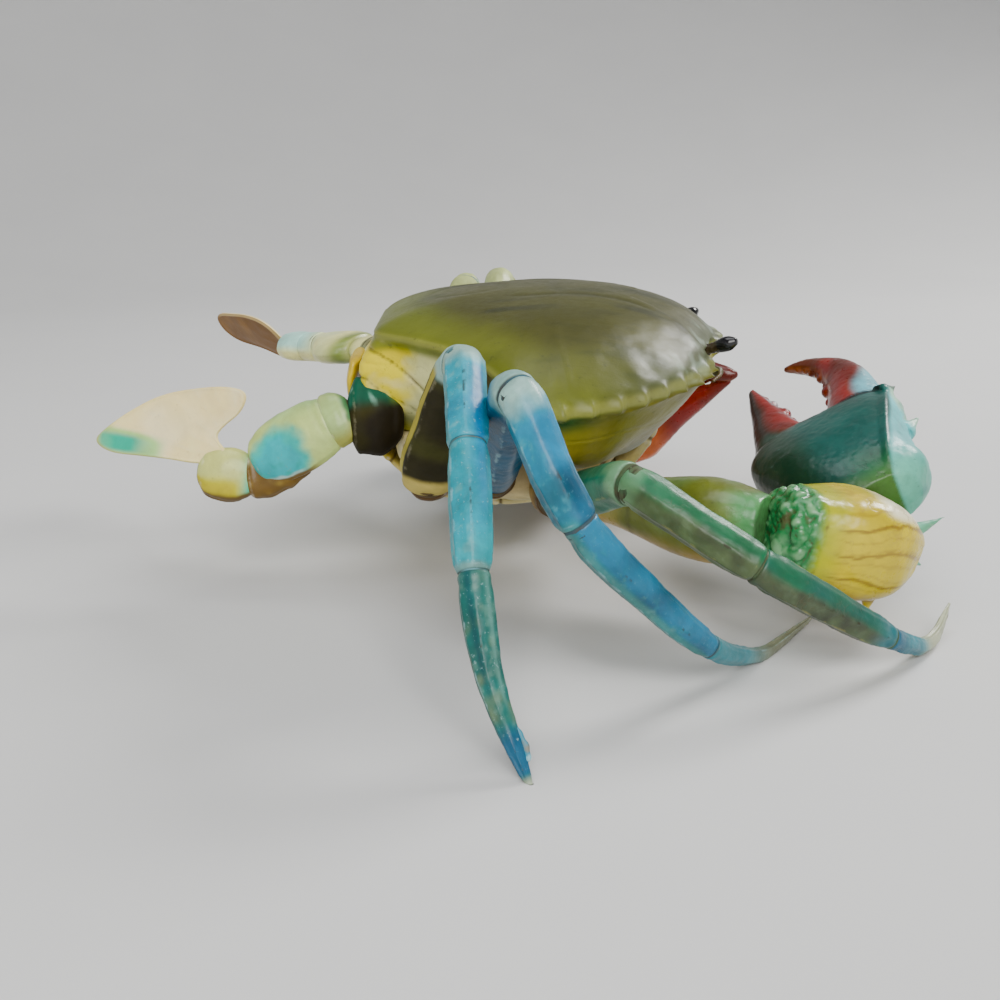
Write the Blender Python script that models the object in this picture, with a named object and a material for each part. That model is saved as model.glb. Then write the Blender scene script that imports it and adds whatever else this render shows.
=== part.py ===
"""Mud crab, a dried and hand painted specimen: a still, life-size model.

X points forward, Y to the crab's left and Z up. The crab stands on the floor,
Z = 0, on the ends of its six walking legs. Sizes are in millimetres and become
metres where a mesh is made. Every plate of the shell is a closed solid of its
own, and neighbouring plates keep a thin gap where their joint would be.
"""
import math

import bmesh
import bpy
import numpy as np
from mathutils import Matrix, Vector

MM = 0.001  # metres in a millimetre
GAP = 0.3  # clearance at every joint
SMOOTH_ANGLE = math.radians(50.0)

# Carapace
SHELL_HALF_WIDTH = 62.5  # midline to the base of the last side tooth
SHELL_FRONT_X = 62.0
SHELL_CENTRE_X = 8.0
SHELL_REAR_X = -26.0
SHELL_REAR_HALF_WIDTH = 21.0
SHELL_WIDEST_X = 13.0
SHELL_TOP_Z = 75.5
RIM_SIDE_Z = 55.0  # height of the sharp rim at the widest point
RIM_FRONT_Z = 62.5
RIM_REAR_Z = 66.0
SHELL_FLOOR_REAR_Z = 41.0  # the carapace meets the thorax on a sloping plane
SHELL_FLOOR_SLOPE = -0.085
SIDE_TEETH = 9
SIDE_TOOTH_LENGTH = 2.4
FRONT_LOBES = 2  # blunt lobes on each side of the midline
MOUTH_HALF_WIDTH = 12.0
CHEEK_BULGE = 1.8  # how far the wall under the front rim stands out
REAR_BULGE = 5.5  # how far the wall below the rear rim swells
REAR_HOLLOW = 3.5  # how far the sides of the rear bow inward
ORBIT_INNER_Y = 14.5
ORBIT_OUTER_Y = 30.0
ORBIT_DEPTH = 5.0
DOME_CENTRE_X = 22.0
DOME_FULLNESS = (2.5, 0.66)  # exponents of the dome's profile

# Thorax, abdomen and mouth
THORAX_BOTTOM_Z = 21.0
THORAX_SIDES = 16
ABDOMEN_THICKNESS = 3.0

# Limbs
LEG_SIDES = 8
CLAW_SIDES = 10
SPINE_SIDES = 6
SPINE_POINT = 0.15  # radius at the tip of a spine, as a share of its base
KNEE_RADIUS = 6.0
SHARP_TURN = math.cos(math.radians(38.0))  # a bend this tight takes more rings
LEAST_REACH = 1.2  # shortest stretch that a bend takes of each piece it joins

COLOURS = {
    "olive": (0.16, 0.17, 0.035, 0.35),
    "cream": (0.62, 0.55, 0.33, 0.45),
    "yellow": (0.55, 0.42, 0.03, 0.40),
    "black": (0.008, 0.008, 0.010, 0.15),
    "brown": (0.16, 0.10, 0.035, 0.50),
    "light_blue": (0.10, 0.42, 0.52, 0.35),
    "deep_blue": (0.01, 0.20, 0.42, 0.35),
    "green": (0.02, 0.22, 0.14, 0.35),
    "dark_green": (0.006, 0.09, 0.075, 0.25),
    "red": (0.28, 0.025, 0.02, 0.30),
    "pale": (0.60, 0.62, 0.42, 0.45),
}


# ---------------------------------------------------------------- tools


def vec(x, y, z):
    return np.array((x, y, z), dtype=float)


def unit(v):
    return v / np.linalg.norm(v)


def blend(a, b, t):
    return a + (b - a) * t


def profile(t, stops):
    """Smoothly interpolated value at t of (position, value) stops."""
    places = [place for place, _ in stops]
    index = min(max(int(np.searchsorted(places, t)), 1), len(stops) - 1)
    (t0, a), (t1, b) = stops[index - 1], stops[index]
    s = min(max((t - t0) / (t1 - t0), 0.0), 1.0)
    s = s * s * (3.0 - 2.0 * s)
    return blend(a, b, s)


def section(centre, wide_axis, deep_axis, half_wide, half_deep, sides, squareness=2.3):
    """A closed ring of points on a superellipse."""
    ring = []
    for index in range(sides):
        angle = 2.0 * math.pi * (index + 0.5) / sides
        c = math.cos(angle)
        s = math.sin(angle)
        x = math.copysign(abs(c) ** (2.0 / squareness), c) * half_wide
        y = math.copysign(abs(s) ** (2.0 / squareness), s) * half_deep
        ring.append(centre + wide_axis * x + deep_axis * y)
    return ring


def material(name):
    """A painted shell finish: one Principled material for each colour name."""
    found = bpy.data.materials.get(name)
    if found:
        return found
    red, green, blue, roughness = COLOURS[name]
    made = bpy.data.materials.new(name)
    made.use_nodes = True
    shader = made.node_tree.nodes["Principled BSDF"]
    shader.inputs["Base Color"].default_value = (red, green, blue, 1.0)
    shader.inputs["Roughness"].default_value = roughness
    shader.inputs["Metallic"].default_value = 0.0
    return made


def object_from(mesh_data, name, colour, collection):
    bmesh.ops.recalc_face_normals(mesh_data, faces=mesh_data.faces)
    mesh = bpy.data.meshes.new(name)
    mesh_data.to_mesh(mesh)
    mesh_data.free()
    made = bpy.data.objects.new(name, mesh)
    made.data.materials.append(material(colour))
    collection.objects.link(made)
    mesh.shade_smooth()
    mesh.set_sharp_from_angle(angle=SMOOTH_ANGLE)
    return made


def loft(rings):
    """Closed bmesh through rings of equal length, each end closed by a fan."""
    mesh_data = bmesh.new()
    rows = [[mesh_data.verts.new(p * MM) for p in ring] for ring in rings]
    sides = len(rows[0])
    for low, high in zip(rows[:-1], rows[1:]):
        for index in range(sides):
            after = (index + 1) % sides
            mesh_data.faces.new((low[index], low[after], high[after], high[index]))
    for row, ring in ((rows[0], rings[0]), (rows[-1], rings[-1])):
        middle = mesh_data.verts.new(sum(ring) / sides * MM)
        for index in range(sides):
            mesh_data.faces.new((row[index], row[(index + 1) % sides], middle))
    return mesh_data


def cut_at_floor(mesh_data):
    """Cuts off what hangs below the floor, as a leg's end stands on a small flat."""
    geometry = mesh_data.verts[:] + mesh_data.edges[:] + mesh_data.faces[:]
    bmesh.ops.bisect_plane(mesh_data, geom=geometry, plane_co=(0.0, 0.0, 0.0),
                           plane_no=(0.0, 0.0, 1.0), clear_inner=True)
    rim = [edge for edge in mesh_data.edges if edge.is_boundary]
    if rim:
        bmesh.ops.holes_fill(mesh_data, edges=rim)
    return mesh_data


def boolean(target, other, operation):
    """Applies one exact Boolean and removes the other object."""
    step = target.modifiers.new("boolean", "BOOLEAN")
    step.operation = operation
    step.solver = "EXACT"
    step.object = other
    graph = bpy.context.evaluated_depsgraph_get()
    graph.update()
    result = bpy.data.meshes.new_from_object(target.evaluated_get(graph))
    target.modifiers.clear()
    old = target.data
    target.data = result
    bpy.data.meshes.remove(old)
    bpy.data.objects.remove(other)


def cutter_from(mesh_data, name):
    """A helper for one Boolean, kept out of the crab's own collection."""
    bmesh.ops.recalc_face_normals(mesh_data, faces=mesh_data.faces)
    mesh = bpy.data.meshes.new(name)
    mesh_data.to_mesh(mesh)
    mesh_data.free()
    made = bpy.data.objects.new(name, mesh)
    made.hide_render = True
    made.display_type = "WIRE"
    bpy.data.collections["cutters"].objects.link(made)
    return made


def swollen_copy(source, distance):
    """A copy whose surface stands off the original by a distance."""
    mesh_data = bmesh.new()
    mesh_data.from_mesh(source.data)
    mesh_data.normal_update()
    shifts = [vertex.normal * (distance * MM) for vertex in mesh_data.verts]
    for vertex, shift in zip(mesh_data.verts, shifts):
        vertex.co += shift
    return cutter_from(mesh_data, f"{source.name}_socket")


def spine(base, tip, radius):
    """Closed bmesh of one pointed spine, rooted a little below its base."""
    axis = unit(tip - base)
    root = base - axis * radius
    turn = Vector(axis).to_track_quat("Z", "Y").to_matrix().to_4x4()
    place = Matrix.Translation(Vector((root + tip) / 2 * MM)) @ turn
    mesh_data = bmesh.new()
    bmesh.ops.create_cone(mesh_data, cap_ends=True, segments=SPINE_SIDES, radius1=radius * MM,
                          radius2=radius * SPINE_POINT * MM,
                          depth=float(np.linalg.norm(tip - root)) * MM, matrix=place)
    return mesh_data


# ---------------------------------------------------------------- limbs


def bend(before, corner, after, radius):
    """Start, middle and end of the fillet at a corner, with its directions."""
    into = unit(corner - before)
    out = unit(after - corner)
    turn = math.acos(float(np.clip(np.dot(into, out), -1.0, 1.0)))
    if turn < 0.02:
        return [(corner + into * LEAST_REACH * (step / 2.0 - 1.0), into) for step in range(5)]
    reach = max(radius * math.tan(turn / 2.0), LEAST_REACH)
    shortest = min(np.linalg.norm(corner - before), np.linalg.norm(after - corner))
    reach = min(reach, shortest * 0.45)
    radius = reach / math.tan(turn / 2.0)
    inward = unit(out - into)
    centre = corner + inward * (radius / math.cos(turn / 2.0))
    places = []
    for step in range(5):
        angle = turn * (step / 4.0 - 0.5)
        outward = -inward * math.cos(angle) + unit(into + out) * math.sin(angle)
        along = unit(into + out) * math.cos(angle) + inward * math.sin(angle)
        places.append((centre + outward * radius, along))
    return places


def limb_rows(joints, splits, radius):
    """Places along a limb, one list for each length between two splits."""
    pieces = []
    current = [(joints[0], unit(joints[1] - joints[0]))]
    for index in range(1, len(joints) - 1):
        corner = bend(joints[index - 1], joints[index], joints[index + 1], radius)
        start = current[-1][0]
        heading = corner[0][1]
        for t in (0.3, 0.7):
            current.append((blend(start, corner[0][0], t), heading))
        if splits[index]:
            middle, along = corner[2]
            sharp = float(np.dot(corner[0][1], corner[4][1])) < SHARP_TURN
            current += [corner[0]] + corner[1:2] * sharp + [(middle - along * GAP / 2, along)]
            pieces.append(current)
            current = [(middle + along * GAP / 2, along)] + corner[3:4] * sharp + [corner[4]]
        else:
            current += [corner[0], corner[2], corner[4]]
    start = current[-1][0]
    heading = unit(joints[-1] - joints[-2])
    for t in (0.35, 0.7, 1.0):
        current.append((blend(start, joints[-1], t), heading))
    pieces.append(current)
    return pieces


def rings_along(places, plane_normal, wide_stops, deep_stops, sides):
    """Sections at the places, sized by how far along the piece each one is."""
    steps = [np.linalg.norm(b[0] - a[0]) for a, b in zip(places[:-1], places[1:])]
    total = sum(steps)
    travelled = 0.0
    rings = []
    for index, (point, along) in enumerate(places):
        if index:
            travelled += steps[index - 1]
        t = travelled / total
        wide_axis = unit(plane_normal - along * np.dot(plane_normal, along))
        deep_axis = np.cross(along, wide_axis)
        half_wide = profile(t, wide_stops) / 2.0
        half_deep = profile(t, deep_stops) / 2.0
        rings.append(section(point, wide_axis, deep_axis, half_wide, half_deep, sides))
    return rings


def swell(start, middle, end):
    """Width stops of a leg piece: narrow where it hinges, full along its length."""
    return ((0.0, start), (0.22, middle), (0.8, blend(middle, end, 0.55)), (1.0, end))


# Widths across and through each piece of a walking leg
WALKING_PIECES = {
    "coxa": (swell(9.5, 10.5, 9.0), swell(9.5, 10.5, 9.0)),
    "merus": (swell(7.5, 9.2, 7.8), swell(7.5, 11.0, 8.6)),
    "carpus": (swell(7.8, 9.0, 8.4), swell(7.2, 8.6, 7.6)),
    "propodus": (swell(7.4, 8.6, 6.2), swell(6.4, 7.6, 5.4)),
}
DACTYLUS = ((0.0, 4.8), (0.18, 5.2), (0.6, 3.4), (1.0, 0.9))
HOOKED_DACTYLUS = ((0.0, 3.6), (0.15, 3.6), (0.6, 2.8), (1.0, 0.8))
BROAD_MERUS = (((0.0, 12.0), (0.12, 14.5), (0.7, 12.0), (1.0, 8.4)), swell(7.5, 9.0, 8.0))
# Joints of the walking legs: root, hip, knee, wrist, ankle, bend, tip
RIGHT_LEGS = {
    "leg_2": [(17, -23.5, 28), (18, -36, 28), (30.5, -72, 43.5), (57, -86, 29.5),
              (88.5, -75, 8.6), (102, -62, 1.3), (110.5, -50, 6.5)],
    "leg_3": [(3, -23.5, 32), (3.5, -36, 33.5), (6.5, -84, 64.6), (20, -95, 41),
              (48.5, -82, 10.2), (62, -66, 1.1), (79, -47, 2.0)],
    "leg_4": [(-10.5, -23.5, 32), (-13, -35, 32), (-4.0, -58, 64.5), (-2.5, -80, 56),
              (-1.4, -97, 33), (1.5, -108, 16), (9, -117.5, -1)],
}
LEFT_LEGS = {
    "leg_2": [(15.5, 23.5, 30), (15.5, 36, 30), (15, 79, 55), (28, 101, 42),
              (41, 114, 18), (45, 117.5, 8), (48.5, 119.5, -1)],
    "leg_3": [(3, 23.5, 30.5), (3, 38, 31), (6.5, 84, 68.8), (13, 102, 46),
              (24, 113, 18), (29, 117, 8), (34, 119, -1)],
    "leg_4": [(-10.5, 23.5, 32), (-13, 35, 32), (-4.0, 57, 69.4), (-3.6, 82, 57),
              (-3, 99, 33), (-1, 109, 16), (5, 118, -1)],
}
LEG_COLOURS = {
    "leg_2": {"coxa": "cream", "merus": "green", "carpus": "green",
              "propodus": "green", "dactylus": "light_blue"},
    "leg_3": {"coxa": "cream", "merus": "deep_blue", "carpus": "deep_blue",
              "propodus": "deep_blue", "dactylus": "light_blue"},
    "leg_4": {"coxa": "cream", "merus": "brown", "carpus": "light_blue",
              "propodus": "light_blue", "dactylus": "light_blue"},
}


def walking_leg(name, side, joints, collection):
    """Five plates in a row: coxa, merus, carpus, propodus and dactylus."""
    joints = [vec(*joint) for joint in joints]
    splits = [False, True, True, True, True, False, False]
    plane_normal = unit(np.cross(joints[2] - joints[1], joints[4] - joints[2]))
    rows = limb_rows(joints, splits, KNEE_RADIUS)
    hooked = name != "leg_4"
    for piece, places in zip(LEG_COLOURS[name], rows):
        if piece == "dactylus":
            wide_stops = HOOKED_DACTYLUS if hooked else DACTYLUS
            deep_stops = wide_stops
        else:
            wide_stops, deep_stops = WALKING_PIECES[piece]
            if name == "leg_4" and piece == "merus":
                wide_stops, deep_stops = BROAD_MERUS
        rings = rings_along(places, plane_normal, wide_stops, deep_stops, LEG_SIDES)
        mesh_data = cut_at_floor(loft(rings))
        colour = LEG_COLOURS[name][piece]
        object_from(mesh_data, f"{name}_{side}_{piece}", colour, collection)


# ---------------------------------------------------------------- paddle legs

# Joints: root, end of the coxa, end of the ischium, knee, wrist, blade joint
RIGHT_PADDLE = {
    "joints": [(-21, -17, 45), (-31.5, -19.3, 43.8), (-36, -19.4, 42.4), (-55.5, -19, 33.4),
               (-60, -19, 30.8), (-69.5, -18.6, 32.1)],
    "across": vec(0.12, 0.30, 0.94),
    "blade_along": vec(-0.97, 0.20, 0.135),
    "blade_across": vec(0.12, 0.30, 0.94),
    "blade_corners": [(-0.02, 0.012), (0.17, 0.014), (0.42, 0.0), (0.63, -0.03), (0.76, 0.02),
                      (0.65, 0.20), (0.55, 0.34), (0.32, 0.45), (0.07, 0.52), (-0.11, 0.555),
                      (-0.23, 0.545), (-0.21, 0.40), (-0.14, 0.25), (-0.03, 0.14)],
}
LEFT_PADDLE = {
    "joints": [(-20, 14, 52), (-28.5, 21, 54.5), (-33.5, 25.5, 54.6), (-46, 35.5, 53.2),
               (-50.5, 39.5, 52.6), (-57.8, 45.6, 51.9)],
    "across": vec(0.62, 0.75, 0.10),
    "blade_along": vec(-0.75, 0.62, 0.23),
    "blade_across": vec(0.05, -0.80, 0.60),
    "blade_corners": [(0.03, -0.27), (0.25, -0.32), (0.50, -0.36), (0.80, -0.40), (0.97, -0.30),
                      (0.90, -0.05), (0.62, 0.12), (0.40, 0.24), (0.15, 0.30), (0.04, 0.20),
                      (0.0, 0.0)],
}
# Widths across and through each piece of a paddle leg
PADDLE_PIECES = {
    "coxa": (((0.0, 12.0), (0.5, 18.0), (1.0, 13.0)), ((0.0, 10.0), (0.5, 11.0), (1.0, 9.0))),
    "ischium": (((0.0, 12.0), (0.5, 13.0), (1.0, 11.0)), ((0.0, 7.0), (0.5, 7.0), (1.0, 6.5))),
    "merus": (((0.0, 12.0), (0.25, 19.5), (0.5, 21.5), (0.75, 18.0), (1.0, 8.5)),
              ((0.0, 6.5), (0.5, 8.0), (1.0, 5.0))),
    "carpus": (((0.0, 8.0), (0.5, 10.0), (1.0, 9.0)), ((0.0, 5.0), (0.5, 6.0), (1.0, 5.0))),
    "propodus": (((0.0, 9.0), (0.45, 13.5), (0.8, 12.0), (1.0, 8.0)), ((0.0, 5.0), (0.5, 6.5), (1.0, 3.5))),
}
PADDLE_COLOURS = {"coxa": "dark_green", "ischium": "pale", "merus": "light_blue",
                  "carpus": "pale", "propodus": "pale"}
BLADE_LENGTH = 38.0  # the unit of the blades' corners: along from the joint, then across
BLADE_THICKNESS = 1.6
BLADE_ROOT = 1.9  # from the end of the leg to the blade's near edge


def rounded_outline(corners, steps):
    """Closed curve of quadratic arcs between the middles of the corners' sides."""
    points = []
    count = len(corners)
    for index in range(count):
        here = np.array(corners[index])
        before = (np.array(corners[index - 1]) + here) / 2.0
        after = (here + np.array(corners[(index + 1) % count])) / 2.0
        for step in range(steps):
            t = step / steps
            points.append((1 - t) ** 2 * before + 2 * t * (1 - t) * here + t * t * after)
    return points


def blade(side, leg, collection):
    """The flat swimming paddle, thickest along its middle."""
    joint = vec(*leg["joints"][-1])
    along = unit(leg["blade_along"])
    across = unit(leg["blade_across"] - along * np.dot(leg["blade_across"], along))
    through = np.cross(along, across)
    outline = rounded_outline(leg["blade_corners"], 2)
    middle = sum(outline) / len(outline)
    rings = []
    for scale, lift in ((0.80, -0.5), (1.0, -0.18), (1.0, 0.18), (0.80, 0.5)):
        ring = []
        for point in outline:
            u, v = middle + (point - middle) * scale
            place = joint + along * (u * BLADE_LENGTH + BLADE_ROOT) + across * v * BLADE_LENGTH
            ring.append(place + through * lift * BLADE_THICKNESS)
        rings.append(ring)
    object_from(loft(rings), f"paddle_{side}_dactylus", "cream", collection)


def straight_rows(joints):
    """Places along straight plates whose ends share the mitre of their joint."""
    headings = [unit(after - here) for here, after in zip(joints[:-1], joints[1:])]
    pieces = []
    for index, heading in enumerate(headings):
        first = unit(headings[max(index - 1, 0)] + heading)
        last = unit(heading + headings[min(index + 1, len(headings) - 1)])
        start = joints[index] + first * GAP / 2
        end = joints[index + 1] - last * GAP / 2
        places = [(start, first)]
        places += [(blend(start, end, t), heading) for t in (0.25, 0.5, 0.75)]
        pieces.append(places + [(end, last)])
    return pieces


def paddle_leg(side, leg, collection):
    """The last leg, turned up behind the body and ending in a blade."""
    joints = [vec(*joint) for joint in leg["joints"]]
    for piece, places in zip(PADDLE_PIECES, straight_rows(joints)):
        wide_stops, deep_stops = PADDLE_PIECES[piece]
        rings = rings_along(places, leg["across"], wide_stops, deep_stops, LEG_SIDES)
        object_from(loft(rings), f"paddle_{side}_{piece}", PADDLE_COLOURS[piece], collection)
    blade(side, leg, collection)


# ---------------------------------------------------------------- claws

RIGHT_CLAW = {
    "arm": [(28.5, -23.2, 25), (38, -30.5, 25), (47, -37, 25), (56, -43.5, 25.2), (65.5, -50, 25.6)],
    "carpus": (vec(66.5, -50.5, 26.0), vec(101.0, -45.5, 18.0)),
    "wrist": vec(98, -36, 27),
    "axis": vec(-0.14, 0.96, 0.22),
    "width_axis": vec(0.90, 0.0, 0.44),
    "opening": 1.0,
    "size": 1.0,
}
LEFT_CLAW = {
    "arm": [(28.5, 23.2, 25), (28.5, 32, 22.5), (25.5, 43, 20.5), (19.5, 53.5, 20.2), (13, 62.5, 20.5)],
    "carpus": (vec(12.5, 63.5, 20.5), vec(20, 89, 18)),
    "wrist": vec(28.8, 75.5, 17.3),
    "axis": vec(0.803, -0.432, 0.412),
    "width_axis": vec(-0.05, 0.12, 0.99),
    "opening": 0.45,
    "size": 0.85,
}
# Widths along the arm, across and through it
CLAW_ARM = (((0.0, 11.0), (0.2, 12.0), (0.45, 17.0), (0.85, 19.0), (1.0, 15.0)),
            ((0.0, 11.0), (0.2, 12.0), (0.45, 16.0), (0.85, 18.0), (1.0, 14.0)))
# Along the carpus, height, depth
CARPUS_STATIONS = ((0.0, 13.0, 12.0), (0.12, 19.0, 18.0), (0.35, 22.5, 24.0),
                   (0.6, 25.0, 25.0), (0.82, 19.0, 20.0), (1.0, 9.0, 11.0))
PALM_LENGTH = 38.0
FINGER_LENGTH = 37.0
# Along the palm, offset to the hinged finger's side, width, thickness
PALM_STATIONS = ((0.0, 0.0, 15.0, 13.0), (4.0, 0.0, 28.0, 19.0), (12.0, -1.5, 37.0, 24.0),
                 (21.0, -2.0, 42.0, 25.0), (28.0, -1.5, 44.5, 22.0), (34.0, -1.0, 43.0, 17.5),
                 (38.0, 0.0, 39.0, 13.5))
# Along a finger, offset, width, thickness
FIXED_FINGER = ((30.0, -12.5, 18.5, 15.0), (38.0, -10.8, 17.5, 13.0), (44.0, -10.2, 14.5, 11.0),
                (50.0, -10.0, 11.5, 9.0), (56.0, -9.6, 9.0, 7.5), (64.0, -9.0, 5.6, 5.4),
                (72.5, -8.0, 1.8, 1.8))
HINGED_FINGER = ((0.0, 10.2, 18.0, 13.5), (6.0, 12.0, 16.0, 12.0), (12.0, 13.8, 13.5, 10.5),
                 (18.0, 14.8, 11.5, 9.5), (25.0, 14.4, 9.4, 8.0), (31.0, 11.6, 7.4, 6.0),
                 (35.0, 8.0, 5.2, 4.2), (37.5, 4.2, 1.8, 1.8))
# Spines of the palm: along it, across it, through it, and how far each leans
PALM_SPINES = ((34.0, 17.5, 1.0, 4.0), (23.0, 17.5, -1.0, 1.5))
TOOTH_HEIGHT = 1.6
FINGER_RINGS = 12


def stations_at(stations, t):
    """Smooth values at a fraction t of the stations' run."""
    run = [row[0] for row in stations]
    place = blend(run[0], run[-1], t)
    return [place] + [float(np.interp(place, run, [row[k] for row in stations])) for k in (1, 2, 3)]


def finger_rings(claw, stations, start, count, teeth_side):
    """Sections of a curved finger, its biting edge raised into knobbly teeth."""
    axis, width_axis, through = claw_axes(claw)
    size = claw["size"]
    rings = []
    for index in range(count):
        t = index / (count - 1)
        place, offset, width, thickness = stations_at(stations, t)
        past = max(start + place - PALM_LENGTH, 0.0) / FINGER_LENGTH
        offset = offset * blend(1.0, claw["opening"], min(past, 1.0))
        centre = claw["wrist"] + (axis * (start + place) + width_axis * offset) * size
        half_wide = width / 2 * size
        ring = section(centre, width_axis, through, half_wide, thickness / 2 * size, CLAW_SIDES, 2.1)
        tooth = TOOTH_HEIGHT * (index % 2) * (1.0 - 0.6 * t) if index > 2 else 0.0
        shaped = []
        for point in ring:
            reach = float(np.dot(point - centre, width_axis)) * teeth_side / half_wide
            shaped.append(point + width_axis * teeth_side * tooth * max(reach, 0.0) ** 4)
        rings.append(shaped)
    return rings


def claw_axes(claw):
    axis = unit(claw["axis"])
    width_axis = unit(claw["width_axis"] - axis * np.dot(claw["width_axis"], axis))
    return axis, width_axis, np.cross(axis, width_axis)


def add_spines(plate, spines):
    """Joins pointed spines, each a base, a tip and a radius, to a plate."""
    for base, tip, radius in spines:
        boolean(plate, cutter_from(spine(base, tip, radius), "spine"), "UNION")


def claw_arm(side, claw, collection):
    """The inner length of a claw's limb, from the body to the elbow."""
    joints = [vec(*joint) for joint in claw["arm"]]
    outward = vec(0.0, math.copysign(1.0, joints[0][1]), 0.0)
    places = [(joints[0], outward)]
    for before, here, after in zip(joints[:-2], joints[1:-1], joints[2:]):
        places.append((here, unit(after - before)))
    places.append((joints[-1], unit(joints[-1] - joints[-2])))
    rings = rings_along(places, vec(0.0, 0.0, 1.0), *CLAW_ARM, CLAW_SIDES)
    arm = object_from(loft(rings), f"claw_{side}_arm", "olive", collection)
    add_spines(arm, arm_spines(joints))
    return arm


def arm_spines(joints):
    """Three spines on the front edge and two behind, as the mud crab has."""
    along = unit(joints[-1] - joints[2])
    front = unit(vec(1.0, 0.0, 0.1) - along * along[0])
    spines = []
    for base, spread in ((joints[1], 4.5), (joints[2], 6.8), (blend(joints[3], joints[4], 0.3), 7.8)):
        base = base + front * spread
        spines.append((base, base + front * 4.5 + along * 2.0, 1.7))
    for base, spread in ((joints[2], 6.8), (blend(joints[3], joints[4], 0.5), 7.5)):
        base = base - front * spread + vec(0.0, 0.0, 2.0)
        spines.append((base, base - front * 3.5 + along * 1.5, 1.5))
    return spines


def claw_carpus(side, claw, collection):
    """The chunky wrist block with a strong spine at its inner corner."""
    start, end = claw["carpus"]
    along = unit(end - start)
    length = np.linalg.norm(end - start)
    up = unit(vec(0.0, 0.0, 1.0) - along * along[2])
    out = np.cross(along, up)
    rings = []
    for t, tall, deep in CARPUS_STATIONS:
        rings.append(section(start + along * length * t, up, out, tall / 2, deep / 2, CLAW_SIDES, 2.6))
    made = object_from(loft(rings), f"claw_{side}_carpus", "yellow", collection)
    inward = out * (-1.0 if side == "right" else 1.0)
    corner = end - along * 2.5 + up * 1.5 + inward * 3.0
    lower = blend(start, end, 0.72) - up * 10.0
    add_spines(made, [(corner, corner + along * 10.0 + up * 6.5 + inward * 2.0, 2.6),
                      (lower, lower - up * 4.5 + along * 1.0, 1.9)])
    return made


def claw_palm(side, claw, collection):
    """Palm and fixed finger in one piece, with the two spines at its far edge."""
    axis, width_axis, through = claw_axes(claw)
    size = claw["size"]
    rings = []
    for place, offset, width, thickness in PALM_STATIONS:
        centre = claw["wrist"] + (axis * place + width_axis * offset) * size
        half_wide = width / 2 * size
        rings.append(section(centre, width_axis, through, half_wide, thickness / 2 * size, CLAW_SIDES, 2.5))
    palm = object_from(loft(rings), f"claw_{side}_palm", "dark_green", collection)
    rings = finger_rings(claw, FIXED_FINGER, 0.0, FINGER_RINGS, 1.0)
    boolean(palm, cutter_from(loft(rings), "fixed_finger"), "UNION")
    spines = []
    for place, across, shift, lean in PALM_SPINES:
        base = claw["wrist"] + (axis * place + width_axis * across + through * shift) * size
        spines.append((base, base + (axis * lean + width_axis * 4.5) * size, 1.9 * size))
    add_spines(palm, spines)
    return palm


def claw_finger(side, claw, collection):
    rings = finger_rings(claw, HINGED_FINGER, PALM_LENGTH + GAP, FINGER_RINGS, -1.0)
    return object_from(loft(rings), f"claw_{side}_finger", "red", collection)


def claw_limb(side, claw, collection):
    arm = claw_arm(side, claw, collection)
    carpus = claw_carpus(side, claw, collection)
    palm = claw_palm(side, claw, collection)
    finger = claw_finger(side, claw, collection)
    for host, guest in ((carpus, palm), (carpus, arm), (palm, finger)):
        boolean(host, swollen_copy(guest, GAP), "DIFFERENCE")


# ---------------------------------------------------------------- body


def smooth_edge(y):
    """X of the front curve of the shell, before teeth and orbits, at a given Y."""
    reach = min(abs(y) / (SHELL_HALF_WIDTH + 1.0), 1.0)
    return SHELL_CENTRE_X + (SHELL_FRONT_X - SHELL_CENTRE_X) * math.sqrt(1.0 - reach ** 2)


def front_outline():
    """Half of the front edge, as toothed and untoothed points from the midline."""
    toothed = [(smooth_edge(0) - 1.6, 0.0)]
    plain = [(smooth_edge(0) - 1.0, 0.0)]
    lobe = ORBIT_INNER_Y / FRONT_LOBES
    for index in range(FRONT_LOBES):
        for share, rise in ((0.5, 1.0), (1.0, -1.6)):
            y = lobe * (index + share)
            toothed.append((smooth_edge(y) + rise, y))
            plain.append((smooth_edge(y) - 1.0, y))
    for share in (0.15, 0.5, 0.85):
        y = blend(ORBIT_INNER_Y, ORBIT_OUTER_Y, share)
        toothed.append((smooth_edge(y) - ORBIT_DEPTH, y))
        plain.append((smooth_edge(y) - 2.0, y))
    first = math.asin(ORBIT_OUTER_Y / (SHELL_HALF_WIDTH + 1.0))
    last = math.asin(0.995)
    for index in range(SIDE_TEETH):
        for share in (0.25, 1.0):
            angle = blend(first, last, (index + share - 0.25) / (SIDE_TEETH - 0.25))
            x = SHELL_CENTRE_X + (SHELL_FRONT_X - SHELL_CENTRE_X) * math.cos(angle)
            y = (SHELL_HALF_WIDTH + 1.0) * math.sin(angle)
            plain.append((x, y))
            out = SIDE_TOOTH_LENGTH * 0.9 if share < 1.0 else -0.8
            forward = SIDE_TOOTH_LENGTH * 0.6 if share < 1.0 else 0.0
            toothed.append((x + math.cos(angle) * out + forward, y + math.sin(angle) * out))
    return toothed, plain


def rear_outline():
    """Half of the rear edge, from the last tooth round to the midline."""
    points = []
    for t in (0.15, 0.4, 0.65, 0.85, 0.96):
        x = blend(SHELL_WIDEST_X - 4.0, SHELL_REAR_X + 1.5, t)
        y = blend(SHELL_HALF_WIDTH - 1.0, SHELL_REAR_HALF_WIDTH + 2.0, t)
        hollow = REAR_HOLLOW * math.sin(math.pi * t)
        points.append((x + hollow * 0.75, y - hollow * 0.65))
    for t in (1.0, 0.55):
        points.append((SHELL_REAR_X, SHELL_REAR_HALF_WIDTH * t))
    return points


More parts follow.
